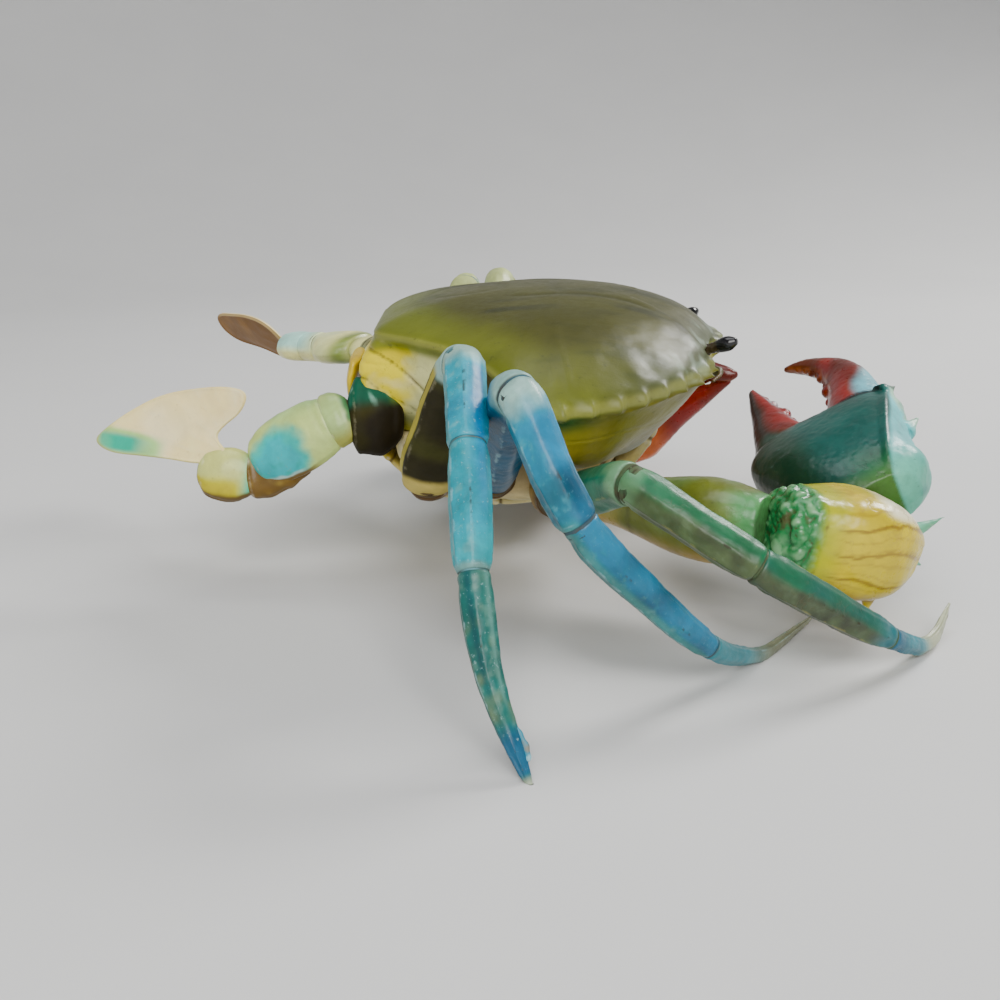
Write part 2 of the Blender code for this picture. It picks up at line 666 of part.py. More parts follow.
def rim_height(x, y):
    """The rim is lowest at the sides and rises to the front and the rear."""
    reach = min(abs(y) / SHELL_HALF_WIDTH, 1.0)
    if x > SHELL_WIDEST_X:
        return blend(RIM_FRONT_Z, RIM_SIDE_Z, reach ** 1.6)
    return blend(RIM_REAR_Z, RIM_SIDE_Z, reach ** 4)


def shell_floor(x):
    return SHELL_FLOOR_REAR_Z + SHELL_FLOOR_SLOPE * (x - SHELL_REAR_X)


def closed_outline(half):
    """Mirrors half an outline that starts on the midline at the front."""
    right = [(x, -y) for x, y in reversed(half[1:])]
    return half + [(SHELL_REAR_X, 0.0)] + right


def carapace(collection):
    toothed, plain = front_outline()
    rear = rear_outline()
    edge = closed_outline(toothed + rear)
    base = closed_outline(plain + rear)
    centre = np.array((DOME_CENTRE_X, 0.0))
    rings = []
    power, root = DOME_FULLNESS
    for scale in (0.22, 0.5, 0.75, 0.92):
        height = (1.0 - scale ** power) ** root
        ring = []
        for x, y in base:
            px, py = centre + (np.array((x, y)) - centre) * scale
            ring.append(vec(px, py, blend(rim_height(x, y), SHELL_TOP_Z, height)))
        rings.append(ring)
    rings.append([vec(x, y, rim_height(x, y) + 0.25) for x, y in edge])
    rings.append([vec(x, y, rim_height(x, y) - 0.45) for x, y in edge])
    for scale, drop in ((0.955, 0.1), (0.91, 0.42), (0.83, 0.75), (0.66, 1.0)):
        ring = []
        for x, y in base:
            px, py = centre + (np.array((x, y)) - centre) * scale
            if x > SHELL_FRONT_X - 14.0:
                px += CHEEK_BULGE * (1.0 - drop)
            if x < SHELL_REAR_X + 3.0:
                px = x + 3.0 * drop - REAR_BULGE * math.sin(math.pi * min(drop * 1.1, 1.0))
            floor = shell_floor(px) + GAP / 2
            ring.append(vec(px, py, blend(rim_height(x, y) - 1.5, floor, drop)))
        rings.append(ring)
    return object_from(loft(rings), "carapace", "olive", collection)


# Rings of the thorax: height, rear end, front end, half width
THORAX_RINGS = ((31.0, -20.0, 33.0, 22.5), (27.0, -14.5, 27.5, 22.0), (23.0, -7.0, 20.0, 17.0),
                (THORAX_BOTTOM_Z, -2.0, 16.0, 13.0))
THORAX_TOP = (-22.5, 40.0, 22.5)  # rear end, front end, half width under the carapace


def thorax(collection):
    """Underside of the body, between the two rows of legs."""
    forward = vec(1, 0, 0)
    sideways = vec(0, 1, 0)
    rings = []
    for z, rear, front, half_y in ((None, *THORAX_TOP), *THORAX_RINGS):
        middle = vec((rear + front) / 2, 0.0, z or 0.0)
        ring = section(middle, forward, sideways, (front - rear) / 2, half_y, THORAX_SIDES, 5.0)
        if z is None:
            ring = [vec(p[0], p[1], shell_floor(p[0]) - GAP / 2) for p in ring]
        rings.append(ring)
    return object_from(loft(rings), "thorax", "cream", collection)


# The abdomen's fold, from the rear rim down and forward: X, Z and half width
ABDOMEN_PATH = ((-32.0, 57.5, 11.0), (-33.2, 52.0, 12.0), (-32.5, 45.0, 11.5),
                (-27.5, 35.5, 11.0), (-17.0, 25.0, 10.0), (-5.0, 19.6, 9.0),
                (8.0, 18.6, 6.5), (17.0, 18.6, 3.0))


def abdomen(collection):
    """Tail plate, folded under the body from the shell's rear edge."""
    rings = []
    count = len(ABDOMEN_PATH)
    for index, (x, z, half_width) in enumerate(ABDOMEN_PATH):
        before = ABDOMEN_PATH[max(index - 1, 0)]
        after = ABDOMEN_PATH[min(index + 1, count - 1)]
        along = unit(vec(after[0] - before[0], 0.0, after[1] - before[1]))
        through = np.cross(along, vec(0.0, 1.0, 0.0))
        rings.append(section(vec(x, 0.0, z), vec(0.0, 1.0, 0.0), through,
                             half_width, ABDOMEN_THICKNESS / 2, 12, 2.6))
    return object_from(loft(rings), "abdomen", "yellow", collection)


# A mouth flap, from its root up to the epistome: X, Z, width, thickness
MOUTH_PATH = ((24.0, 22.0, 6.0, 3.0), (31.0, 24.5, 9.5, 4.0), (38.5, 30.0, 11.0, 4.0),
              (44.0, 37.5, 10.5, 4.0), (47.0, 45.0, 7.0, 2.5))


def mouthpart(side, sign, collection):
    """One of the two flat flaps that close over the mouth."""
    rings = []
    count = len(MOUTH_PATH)
    for index, (x, z, width, thick) in enumerate(MOUTH_PATH):
        before = MOUTH_PATH[max(index - 1, 0)]
        after = MOUTH_PATH[min(index + 1, count - 1)]
        along = unit(vec(after[0] - before[0], 0.0, after[1] - before[1]))
        through = np.cross(along, vec(0.0, 1.0, 0.0))
        centre = vec(x, sign * (width / 2 + GAP), z)
        rings.append(section(centre, vec(0.0, 1.0, 0.0), through, width / 2, thick / 2, 8, 2.6))
    return object_from(loft(rings), f"mouthpart_{side}", "cream", collection)


# The hollow under the front, as boxy rings: X, Z, half height
MOUTH_RECESS = ((30.0, 35.0, 10.0), (41.0, 37.0, 16.0), (56.0, 42.0, 13.0))


def mouth_recess():
    """Cutter for the hollow under the front, which the mouth flaps close."""
    across = vec(0.0, 1.0, 0.0)
    upright = vec(0.0, 0.0, 1.0)
    rings = [section(vec(x, 0.0, z), across, upright, MOUTH_HALF_WIDTH, half_tall, 8, 4.0)
             for x, z, half_tall in MOUTH_RECESS]
    return cutter_from(loft(rings), "mouth_recess")


# Radii of the eye along its stalk, from the orbit to the cap
EYE_BASE = (50.5, 19.0, 60.0)
EYE_END = (61.6, 26.4, 65.0)
EYE_RADII = ((0.0, 2.4), (0.35, 2.0), (0.62, 2.1), (0.74, 2.5), (0.88, 2.4), (1.0, 1.0))


def eye(side, sign, collection):
    """A short stalk that leans out of the orbit, with the eye's cap on its end."""
    mirror = vec(1.0, sign, 1.0)
    base = vec(*EYE_BASE) * mirror
    end = vec(*EYE_END) * mirror
    along = unit(end - base)
    wide = unit(np.cross(along, vec(0.0, 0.0, 1.0)))
    deep = np.cross(along, wide)
    rings = [section(blend(base, end, t), wide, deep, radius, radius, 8, 2.0) for t, radius in EYE_RADII]
    return object_from(loft(rings), f"eye_{side}", "black", collection)


ANTENNA_WIDTHS = ((0.0, 3.6), (0.25, 3.2), (0.4, 1.5), (1.0, 0.8))
ANTENNA_JOINTS = ((62.6, 11.0, 54.5), (65.6, 12.5, 54.5), (65.8, 19.0, 54.0), (63.6, 27.0, 52.5))


def antenna(side, sign, collection):
    """A short base and a fine feeler lying under the edge of the orbit."""
    joints = [vec(x, y * sign, z) for x, y, z in ANTENNA_JOINTS]
    places = limb_rows(joints, [False] * len(joints), 2.5)[0]
    rings = rings_along(places, vec(0.0, 0.0, 1.0), ANTENNA_WIDTHS, ANTENNA_WIDTHS, 6)
    return object_from(loft(rings), f"antenna_{side}", "cream", collection)


def body(collection):
    shell = carapace(collection)
    thorax(collection)
    abdomen(collection)
    boolean(shell, mouth_recess(), "DIFFERENCE")
    for side, sign in (("right", -1), ("left", 1)):
        mouthpart(side, sign, collection)
        antenna(side, sign, collection)
        eye(side, sign, collection)


# Pieces that sit in a socket of the body's plates
SEATED = {
    "carapace": ("eye_right", "eye_left", "paddle_right_coxa", "paddle_left_coxa", "leg_2_left_merus"),
    "thorax": ("paddle_right_coxa",),
}


def seat_pieces():
    """Cuts a socket for each seated piece, a gap wider than the piece."""
    for plate, names in SEATED.items():
        for name in names:
            boolean(bpy.data.objects[plate], swollen_copy(bpy.data.objects[name], GAP), "DIFFERENCE")


def centre_on_floor(collection):
    """Moves the crab so that the origin is the middle of its footprint."""
    points = np.array([v.co for made in collection.objects for v in made.data.vertices])
    low = points.min(axis=0)
    high = points.max(axis=0)
    shift = Matrix.Translation(Vector((-(low[0] + high[0]) / 2, -(low[1] + high[1]) / 2, -low[2])))
    for made in collection.objects:
        made.data.transform(shift)


def main():
    for old in list(bpy.data.objects):
        bpy.data.objects.remove(old)
    collection = bpy.data.collections.new("mud_crab")
    bpy.context.scene.collection.children.link(collection)
    cutters = bpy.data.collections.new("cutters")
    bpy.context.scene.collection.children.link(cutters)
    body(collection)
    for name in RIGHT_LEGS:
        walking_leg(name, "right", RIGHT_LEGS[name], collection)
        walking_leg(name, "left", LEFT_LEGS[name], collection)
    paddle_leg("right", RIGHT_PADDLE, collection)
    paddle_leg("left", LEFT_PADDLE, collection)
    claw_limb("right", RIGHT_CLAW, collection)
    claw_limb("left", LEFT_CLAW, collection)
    seat_pieces()
    centre_on_floor(collection)


main()
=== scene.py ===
import math

import bpy
import numpy as np
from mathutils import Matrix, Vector


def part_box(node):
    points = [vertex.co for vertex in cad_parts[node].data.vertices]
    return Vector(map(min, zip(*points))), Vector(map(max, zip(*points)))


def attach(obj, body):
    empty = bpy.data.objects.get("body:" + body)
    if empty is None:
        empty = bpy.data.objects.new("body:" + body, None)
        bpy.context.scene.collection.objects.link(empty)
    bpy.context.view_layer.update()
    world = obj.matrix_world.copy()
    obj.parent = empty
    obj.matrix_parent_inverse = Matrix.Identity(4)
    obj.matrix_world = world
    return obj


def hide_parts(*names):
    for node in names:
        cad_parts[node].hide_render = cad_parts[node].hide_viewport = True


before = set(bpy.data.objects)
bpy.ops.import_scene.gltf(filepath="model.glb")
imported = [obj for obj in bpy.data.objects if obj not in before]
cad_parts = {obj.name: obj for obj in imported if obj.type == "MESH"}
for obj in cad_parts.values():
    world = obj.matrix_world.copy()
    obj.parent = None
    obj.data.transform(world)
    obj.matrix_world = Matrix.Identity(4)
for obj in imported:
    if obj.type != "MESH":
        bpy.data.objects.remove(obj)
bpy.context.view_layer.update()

# A mud crab, dried and painted by hand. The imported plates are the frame; this file
# lays the fine shell over them: toothed carapace, ridged legs, knobbly claws, thin
# swimming blades, joint skin, sutures and the paint. Lengths are millimetres in the
# crab's own axes, X forward, Y to its left, Z up, and become metres in make_piece.

MM = 0.001
GAP = 0.3  # clearance between plates
SHELL_REAR_REACH = 30.2  # from the crab's own origin back to the shell's rearmost point


def crab_origin():
    """Where the crab's own axes meet, found from the carapace in the frame."""
    low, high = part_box("carapace")
    return np.array((low[0] + SHELL_REAR_REACH * MM, (low[1] + high[1]) / 2.0, 0.0))


ORIGIN = crab_origin()
RICHNESS = 1.30  # how far the dried paint's colours stand from grey

# Paints, as linear red, green and blue
OLIVE = (0.050, 0.050, 0.012)
OLIVE_DEEP = (0.018, 0.021, 0.006)
OLIVE_YELLOW = (0.15, 0.170, 0.034)
MOSS = (0.085, 0.105, 0.024)
OCHRE = (0.27, 0.20, 0.018)
BRIGHT_YELLOW = (0.70, 0.52, 0.035)
LEMON = (0.62, 0.58, 0.16)
CREAM = (0.72, 0.66, 0.42)
IVORY = (0.80, 0.76, 0.60)
BROWN = (0.085, 0.045, 0.014)
DARK_BROWN = (0.030, 0.022, 0.009)
TAN = (0.26, 0.15, 0.05)
PALE_SKY = (0.38, 0.66, 0.70)
LEAF = (0.07, 0.26, 0.10)
BOTTLE = (0.012, 0.085, 0.070)
RED = (0.20, 0.020, 0.008)
DARK_RED = (0.085, 0.012, 0.007)
ORANGE = (0.46, 0.12, 0.012)
BLACK = (0.006, 0.006, 0.007)


# ---------------------------------------------------------------- small maths


def vec(x, y, z):
    return np.array((x, y, z), dtype=float)


def unit(v):
    return v / np.linalg.norm(v)


def units(rows):
    """Every vector of an array made one long."""
    return rows / np.linalg.norm(rows, axis=-1)[..., None]


def blend(a, b, t):
    return a + (b - a) * t


def soft(x, low, high):
    """Rises smoothly from 0 at low to 1 at high."""
    s = np.clip((np.asarray(x, dtype=float) - low) / (high - low), 0.0, 1.0)
    return s * s * (3.0 - 2.0 * s)


def bump(x, centre, width):
    """A smooth hill of height 1, width wide on each side of its centre."""
    return np.exp(-((np.asarray(x, dtype=float) - centre) / width) ** 2)


def profile(t, stops):
    """Smooth value at each t through (place, value) stops."""
    t = np.asarray(t, dtype=float)
    places = np.array([stop[0] for stop in stops])
    values = np.array([stop[1] for stop in stops])
    index = np.clip(np.searchsorted(places, t), 1, len(stops) - 1)
    s = np.clip((t - places[index - 1]) / (places[index] - places[index - 1]), 0.0, 1.0)
    s = s * s * (3.0 - 2.0 * s)
    return blend(values[index - 1], values[index], s)


def flowing(t, stops):
    """Like profile, but runs through the stops without easing at each one."""
    places = np.array([stop[0] for stop in stops], dtype=float)
    values = np.array([stop[1] for stop in stops], dtype=float)
    slopes = np.gradient(values, places)
    t = np.clip(np.asarray(t, dtype=float), places[0], places[-1])
    index = np.clip(np.searchsorted(places, t), 1, len(places) - 1)
    width = places[index] - places[index - 1]
    s = (t - places[index - 1]) / width
    a, b = values[index - 1], values[index]
    return ((2 * s ** 3 - 3 * s ** 2 + 1) * a + (s ** 3 - 2 * s ** 2 + s) * width * slopes[index - 1]
            + (3 * s ** 2 - 2 * s ** 3) * b + (s ** 3 - s ** 2) * width * slopes[index])


def columns(places, table):
    """Every further column of a table at each place, flowing through the rows' own places."""
    return [flowing(places, [(row[0], row[k]) for row in table]) for k in range(1, len(table[0]))]


# A turn that keeps the noise's lumps off the crab's own axes
TWIST = np.array(((0.80, -0.48, 0.36), (0.60, 0.64, -0.48), (0.0, 0.60, 0.80)))


def cloud(points, grain, seed=0):
    """Smooth noise from -1 to 1 at the points, with lumps of the grain's size."""
    places = points @ TWIST / grain + 31.7 * (seed + 1)
    cell = np.floor(places).astype(np.int64)
    part = places - cell
    part = part * part * (3.0 - 2.0 * part)
    total = np.zeros(points.shape[:-1])
    for corner in range(8):
        step = np.array((corner & 1, corner >> 1 & 1, corner >> 2 & 1))
        key = cell + step
        mixed = key[..., 0] * 73856093 ^ key[..., 1] * 19349663 ^ key[..., 2] * 83492791
        mixed = (mixed ^ (mixed >> 13)) * 1274126177 & 0xFFFFFF
        weight = np.prod(np.where(step == 1, part, 1.0 - part), axis=-1)
        total += weight * (mixed / 0x7FFFFF - 1.0)
    return total


def rough_cloud(points, grain, seed=0):
    """Noise with three sizes of lump."""
    return (cloud(points, grain, seed) + 0.5 * cloud(points, grain / 2.1, seed + 3)
            + 0.25 * cloud(points, grain / 4.3, seed + 7)) / 1.75


def paint(shape, colour):
    """One colour at every point of a grid."""
    return np.ones(shape + (3,)) * np.array(colour)


def brush(base, colour, mask):
    """Lays a colour over the base where the mask is 1."""
    mask = np.clip(mask, 0.0, 1.0)[..., None]
    return base * (1.0 - mask) + np.array(colour) * mask


def coats(base, *layers):
    """Lays coats over the base in turn, each a colour and its mask."""
    for colour, mask in layers:
        base = brush(base, colour, mask)
    return base


# ---------------------------------------------------------------- meshes

def make_piece(name, points, faces, finish, nodes=(), masks=None):
    """One smooth piece of the crab, riding on its body, with its paint and masks."""
    mesh = bpy.data.meshes.new(name)
    mesh.from_pydata((points * MM + ORIGIN).tolist(), [], faces)
    mesh.update()
    for key, values in (masks or {}).items():
        if values.ndim == 2:
            layer = mesh.color_attributes.new(key, "FLOAT_COLOR", "POINT")
            colours = np.ones((len(values), 4))
            grey = values.mean(axis=1)[:, None]
            colours[:, :3] = np.clip(grey + (values - grey) * RICHNESS, 0.0, 1.0)
            layer.data.foreach_set("color", colours.ravel())
        else:
            layer = mesh.attributes.new(key, "FLOAT", "POINT")
            layer.data.foreach_set("value", np.clip(values, 0.0, 1.0))
    mesh.shade_smooth()
    mesh.materials.append(finish)
    made = bpy.data.objects.new(name, mesh)
    bpy.context.scene.collection.objects.link(made)
    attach(made, "root")
    if nodes:
        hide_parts(*nodes)


def grid_faces(rings, sides):
    """Quads round a stack of rings and a fan over each end, whose centre points come last."""
    ring, side = np.meshgrid(np.arange(rings - 1), np.arange(sides), indexing="ij")
    after = (side + 1) % sides
    quads = np.stack((ring * sides + side, ring * sides + after,
                      (ring + 1) * sides + after, (ring + 1) * sides + side), axis=-1)
    faces = quads.reshape(-1, 4).tolist()
    first, last = rings * sides, rings * sides + 1
    top = (rings - 1) * sides
    for index in range(sides):
        following = (index + 1) % sides
        faces.append([following, index, first])
        faces.append([top + index, top + following, last])
    return faces


def outward(points, faces):
    """Turns the faces round if they point inward."""
    tris = np.array([(f[0], f[i], f[i + 1]) for f in faces for i in range(1, len(f) - 1)])
    a, b, c = points[tris[:, 0]], points[tris[:, 1]], points[tris[:, 2]]
    if np.einsum("ij,ij->", a, np.cross(b, c)) < 0.0:
        faces = [f[::-1] for f in faces]
    return faces


def skin(name, grid, finish, nodes=(), masks=None):
    """Makes a piece from a (rings, sides, 3) grid and masks of the same rings and sides."""
    rings, sides = grid.shape[:2]
    points = np.vstack((grid.reshape(-1, 3), grid[0].mean(axis=0), grid[-1].mean(axis=0)))
    laid = {}
    for key, values in (masks or {}).items():
        flat = values.reshape(rings * sides, -1)
        ends = np.vstack((values[0].reshape(sides, -1).mean(axis=0),
                          values[-1].reshape(sides, -1).mean(axis=0)))
        flat = np.vstack((flat, ends))
        laid[key] = flat if flat.shape[1] == 3 else flat[:, 0]
    make_piece(name, points, outward(points, grid_faces(rings, sides)), finish, nodes, laid)


def ring_angles(sides):
    """The angle in the middle of every side of a ring."""
    return 2.0 * math.pi * (np.arange(sides) + 0.5) / sides


def superellipse(angles, squareness):
    """Unit points round a superellipse, as across and through values."""
    c, s = np.cos(angles), np.sin(angles)
    return np.sign(c) * np.abs(c) ** (2.0 / squareness), np.sign(s) * np.abs(s) ** (2.0 / squareness)


def ringed(centres, wide, deep, x, y):
    """A ring of points round every centre: x along its wide direction, y along its deep one."""
    return (centres[:, None] + np.atleast_2d(wide)[:, None] * x[..., None]
            + np.atleast_2d(deep)[:, None] * y[..., None])


def lengths_along(points):
    """How far along a line of points each of them lies."""
    return np.concatenate(((0.0,), np.cumsum(np.linalg.norm(np.diff(points, axis=0), axis=1))))


STRAIGHT = 0.02  # a joint that turns less than this, in radians, isn't bent
BEND_POINTS = 13


def limb_line(joints, radii):
    """Fine centre line through joints, each bent to its own radius, and the joints' places along it."""
    joints = [vec(*joint) for joint in joints]
    if not isinstance(radii, tuple):
        radii = (radii,) * (len(joints) - 2)
    points = [joints[0]]
    middles = []
    for before, corner, after, radius in zip(joints[:-2], joints[1:-1], joints[2:], radii):
        into, out = unit(corner - before), unit(after - corner)
        turn = math.acos(float(np.clip(into @ out, -1.0, 1.0)))
        if turn < STRAIGHT:
            points.append(corner)
            middles.append(len(points) - 1)
            continue
        reach = max(radius * math.tan(turn / 2.0), 1.2)
        reach = min(reach, 0.48 * min(np.linalg.norm(corner - before), np.linalg.norm(after - corner)))
        inward, along = unit(out - into), unit(into + out)
        bent = reach / math.tan(turn / 2.0)
        centre = corner + inward * (bent / math.cos(turn / 2.0))
        for step in np.linspace(-turn / 2.0, turn / 2.0, BEND_POINTS):
            points.append(centre - inward * math.cos(step) * bent + along * math.sin(step) * bent)
        middles.append(len(points) - 1 - BEND_POINTS // 2)
    points.append(joints[-1])
    points = np.array(points)
    run = lengths_along(points)
    marks = [0.0] + [run[index] for index in middles] + [run[-1]]
    return points, run, marks


def straight_line(first, last):
    """The line between two points, as limb_line gives one, and its length."""
    length = float(np.linalg.norm(last - first))
    return (np.array([first, last]), np.array([0.0, length]), [0.0, length]), length


def on_line(points, run, places):
    """The points of a line at the places along it."""
    return np.stack([np.interp(places, run, points[:, k]) for k in range(points.shape[1])], axis=-1)


def along_line(line, start, end, step):
    """Points and headings between two places on a line."""
    points, run = line[:2]
    places = np.linspace(start, end, max(int((end - start) / step), 6))
    after, before = (on_line(points, run, places + shift) for shift in (0.4, -0.4))
    return places, on_line(points, run, places), units(after - before)


def tube(line, start, end, wide_stops, deep_stops, normal, relief, sides=48, step=0.5,
         squareness=2.3, edge=0.9, pinch=0.10):
    """A limb plate: its grid, with t along and angle round at every point.

    relief(t, angle, points) gives how far the surface rises there, in millimetres. The ends
    close by the pinch, a share of the width, over the last edge millimetres."""
    places, centres, headings = along_line(line, start, end, step)
    t = (places - start) / (end - start)
    wide = units(normal - headings * (headings @ normal)[:, None])
    deep = np.cross(headings, wide)
    angles = ring_angles(sides)
    across, through = superellipse(angles, squareness)
    sized = profile if len(wide_stops) < 5 else flowing
    half_wide = sized(t, wide_stops)[:, None] / 2.0
    half_deep = sized(t, deep_stops)[:, None] / 2.0
    from_end = np.minimum(places - start, end - places)
    shrink = np.clip(from_end / edge, 0.0, 1.0)
    closing = 1.0 - pinch * (1.0 - np.sqrt(1.0 - (1.0 - shrink) ** 2))
    shape = np.ones((len(t), sides))
    t_all, angle_all = t[:, None] * shape, angles[None, :] * shape
    x = across * half_wide
    y = through * half_deep
    rise = relief(t_all, angle_all, ringed(centres, wide, deep, x, y)) * closing[:, None] ** 4
    factor = closing[:, None] * (1.0 + rise / np.maximum(np.sqrt(x ** 2 + y ** 2), 0.3))
    grid = ringed(centres, wide, deep, x * factor, y * factor)
    grid[..., 2] = np.maximum(grid[..., 2], 0.0)
    return grid, t_all, angle_all


def turn_from(angle, centre):
    """How far round an angle lies from a centre, in radians from 0 to pi."""
    return np.abs((angle - centre + math.pi) % (2.0 * math.pi) - math.pi)


# ---------------------------------------------------------------- finishes


class Tree:
    """A short way to lay shader nodes in a tree."""

    def __init__(self, tree):
        self.tree = tree

    def add(self, kind, settings=None, **links):
        node = self.tree.nodes.new(kind)
        for key, value in (settings or {}).items():
            setattr(node, key, value)
        for key, value in links.items():
            numbered = key[0] == "i" and key[1:].isdigit()
            self.put(node.inputs[int(key[1:]) if numbered else key.replace("_", " ")], value)
        return node

    def put(self, socket, value):
        if isinstance(value, bpy.types.NodeSocket):
            self.tree.links.new(value, socket)
        elif isinstance(value, tuple) and len(value) == 3 and socket.type == "RGBA":
            socket.default_value = (*value, 1.0)
        else:
            socket.default_value = value

    def maths(self, operation, a, b=0.0, clamp=False):
        return self.add("ShaderNodeMath", {"operation": operation, "use_clamp": clamp}, i0=a, i1=b).outputs[0]

    def times(self, a, b):
        return self.maths("MULTIPLY", a, b)

    def plus(self, a, b):
        return self.maths("ADD", a, b)

    def place(self):
        """Where a point lies on the piece, in metres."""
        return self.add("ShaderNodeTexCoord").outputs["Object"]

    def raised(self, height, strength, distance):
        """A normal bumped by the height, and how far at most, in millimetres."""
        node = self.add("ShaderNodeBump", None, Height=height)
        node.inputs["Strength"].default_value = strength
        node.inputs["Distance"].default_value = distance * MM
        return node.outputs["Normal"]

    def mixed(self, a, b, share, mode="MIX"):
        node = self.add("ShaderNodeMix", {"data_type": "RGBA", "blend_type": mode, "clamp_result": True})
        self.put(node.inputs[0], share)
        self.put(node.inputs[6], a)
        self.put(node.inputs[7], b)
        return node.outputs[2]

    def spread(self, value, low, high, to_low=0.0, to_high=1.0):
        node = self.add("ShaderNodeMapRange", {"interpolation_type": "SMOOTHSTEP"}, i0=value, i1=low, i2=high,
                        i3=to_low, i4=to_high)
        return node.outputs[0]

    def noise(self, place, scale, detail=4.0, roughness=0.55, distortion=0.0):
        node = self.add("ShaderNodeTexNoise", None, Vector=place, Scale=scale, Detail=detail,
                        Roughness=roughness, Distortion=distortion)
        return node.outputs["Fac"]


def new_group(name, inputs, outputs):
    """A shader node group with named sockets, and its tree to fill in."""
    group = bpy.data.node_groups.new(name, "ShaderNodeTree")
    for socket, kind, value in inputs:
        made = group.interface.new_socket(socket, in_out="INPUT", socket_type=kind)
        if value is not None:
            made.default_value = (*value, 1.0) if isinstance(value, tuple) else value
    for socket, kind in outputs:
        group.interface.new_socket(socket, in_out="OUTPUT", socket_type=kind)
    tree = Tree(group)
    entry = tree.add("NodeGroupInput")
    leave = tree.add("NodeGroupOutput")
    return group, tree, entry.outputs, leave.inputs


def new_material(name):
    """A material, its tree and its shader."""
    made = bpy.data.materials.new(name)
    made.use_nodes = True
    return made, Tree(made.node_tree), made.node_tree.nodes["Principled BSDF"]


COLOUR, NUMBER = "NodeSocketColor", "NodeSocketFloat"


def mottled_paint_group():
    """Hand-laid paint: brush clouds, fine freckles and thin places in one colour."""
    group, tree, given, out = new_group(
        "mottled_paint",
        [("Paint", COLOUR, (0.5, 0.5, 0.5)), ("Cloud Size", NUMBER, 120.0), ("Depth", NUMBER, 0.35),
         ("Freckle", COLOUR, (0.05, 0.04, 0.02)), ("Freckle Amount", NUMBER, 0.2)],
        [("Paint", COLOUR)])
    place = tree.place()
    clouds = tree.noise(place, given["Cloud Size"], 5.0, 0.6, 0.4)
    dark = tree.mixed(given["Paint"], (0.42, 0.42, 0.40), 1.0, "MULTIPLY")
    low = tree.times(tree.spread(clouds, 0.62, 0.34), given["Depth"])
    shade = tree.mixed(given["Paint"], dark, low)
    light = tree.mixed(shade, given["Paint"], 0.45, "ADD")
    high = tree.times(tree.spread(clouds, 0.52, 0.78), given["Depth"])
    shade = tree.mixed(shade, light, high)
    dots = tree.noise(place, tree.times(given["Cloud Size"], 7.5), 3.0, 0.7)
    dots = tree.times(tree.spread(dots, 0.60, 0.72), given["Freckle Amount"])
    tree.put(out["Paint"], tree.mixed(shade, given["Freckle"], dots))
    return group


def rubbed_crests_group():
    """Ridges and tips where handling has worn the paint to a paler one."""
    group, tree, given, out = new_group(
        "rubbed_crests",
        [("Paint", COLOUR, (0.5, 0.5, 0.5)), ("Crest", NUMBER, 0.0), ("Bare", COLOUR, (0.7, 0.7, 0.6)),
         ("Amount", NUMBER, 0.6), ("Breakup", NUMBER, 420.0)],
        [("Paint", COLOUR), ("Worn", NUMBER)])
    place = tree.place()
    patches = tree.noise(place, given["Breakup"], 4.0, 0.65)
    edge = tree.plus(given["Crest"], tree.times(tree.maths("SUBTRACT", patches, 0.5), 0.9))
    worn = tree.times(tree.spread(edge, 0.38, 0.72), given["Amount"])
    tree.put(out["Paint"], tree.mixed(given["Paint"], given["Bare"], worn))
    tree.put(out["Worn"], worn)
    return group


def dark_creases_group():
    """Painted shade: darkens the paint in joints, sutures and grooves, where shade falls."""
    group, tree, given, out = new_group(
        "dark_creases",
        [("Paint", COLOUR, (0.5, 0.5, 0.5)), ("Crease", NUMBER, 0.0), ("Grime", COLOUR, (0.05, 0.03, 0.015)),
         ("Amount", NUMBER, 0.8)],
        [("Paint", COLOUR), ("Dark", NUMBER)])
    place = tree.place()
    ragged = tree.noise(place, 650.0, 4.0, 0.6)
    edge = tree.plus(given["Crease"], tree.times(tree.maths("SUBTRACT", ragged, 0.5), 0.55))
    dark = tree.times(tree.spread(edge, 0.25, 0.85), given["Amount"])
    tree.put(out["Paint"], tree.mixed(given["Paint"], given["Grime"], dark))
    tree.put(out["Dark"], dark)
    return group


def age_cracks_group():
    """Wandering hairline cracks in old paint, and how deep they cut."""
    group, tree, given, out = new_group(
        "age_cracks",
        [("Paint", COLOUR, (0.5, 0.5, 0.5)), ("Crack", COLOUR, (0.12, 0.06, 0.02)),
         ("Spacing", NUMBER, 130.0), ("Amount", NUMBER, 0.5), ("Where", NUMBER, 1.0)],
        [("Paint", COLOUR), ("Height", NUMBER)])
    place = tree.place()
    bend = tree.add("ShaderNodeTexNoise", None, Vector=place, Scale=260.0, Detail=3.0)
    shift = tree.add("ShaderNodeVectorMath", {"operation": "SCALE"}, i0=bend.outputs["Color"])
    shift.inputs["Scale"].default_value = 0.012
    moved = tree.add("ShaderNodeVectorMath", {"operation": "ADD"}, i0=place, i1=shift.outputs[0]).outputs[0]
    cells = tree.add("ShaderNodeTexVoronoi", {"feature": "DISTANCE_TO_EDGE"}, Vector=moved,
                     Scale=given["Spacing"])
    line = tree.spread(cells.outputs["Distance"], 0.045, 0.0)
    gaps = tree.spread(tree.noise(place, 90.0, 3.0), 0.40, 0.62)
    line = tree.times(tree.times(line, gaps), given["Where"])
    tree.put(out["Paint"], tree.mixed(given["Paint"], given["Crack"], tree.times(line, given["Amount"])))
    tree.put(out["Height"], tree.times(line, -1.0))
    return group


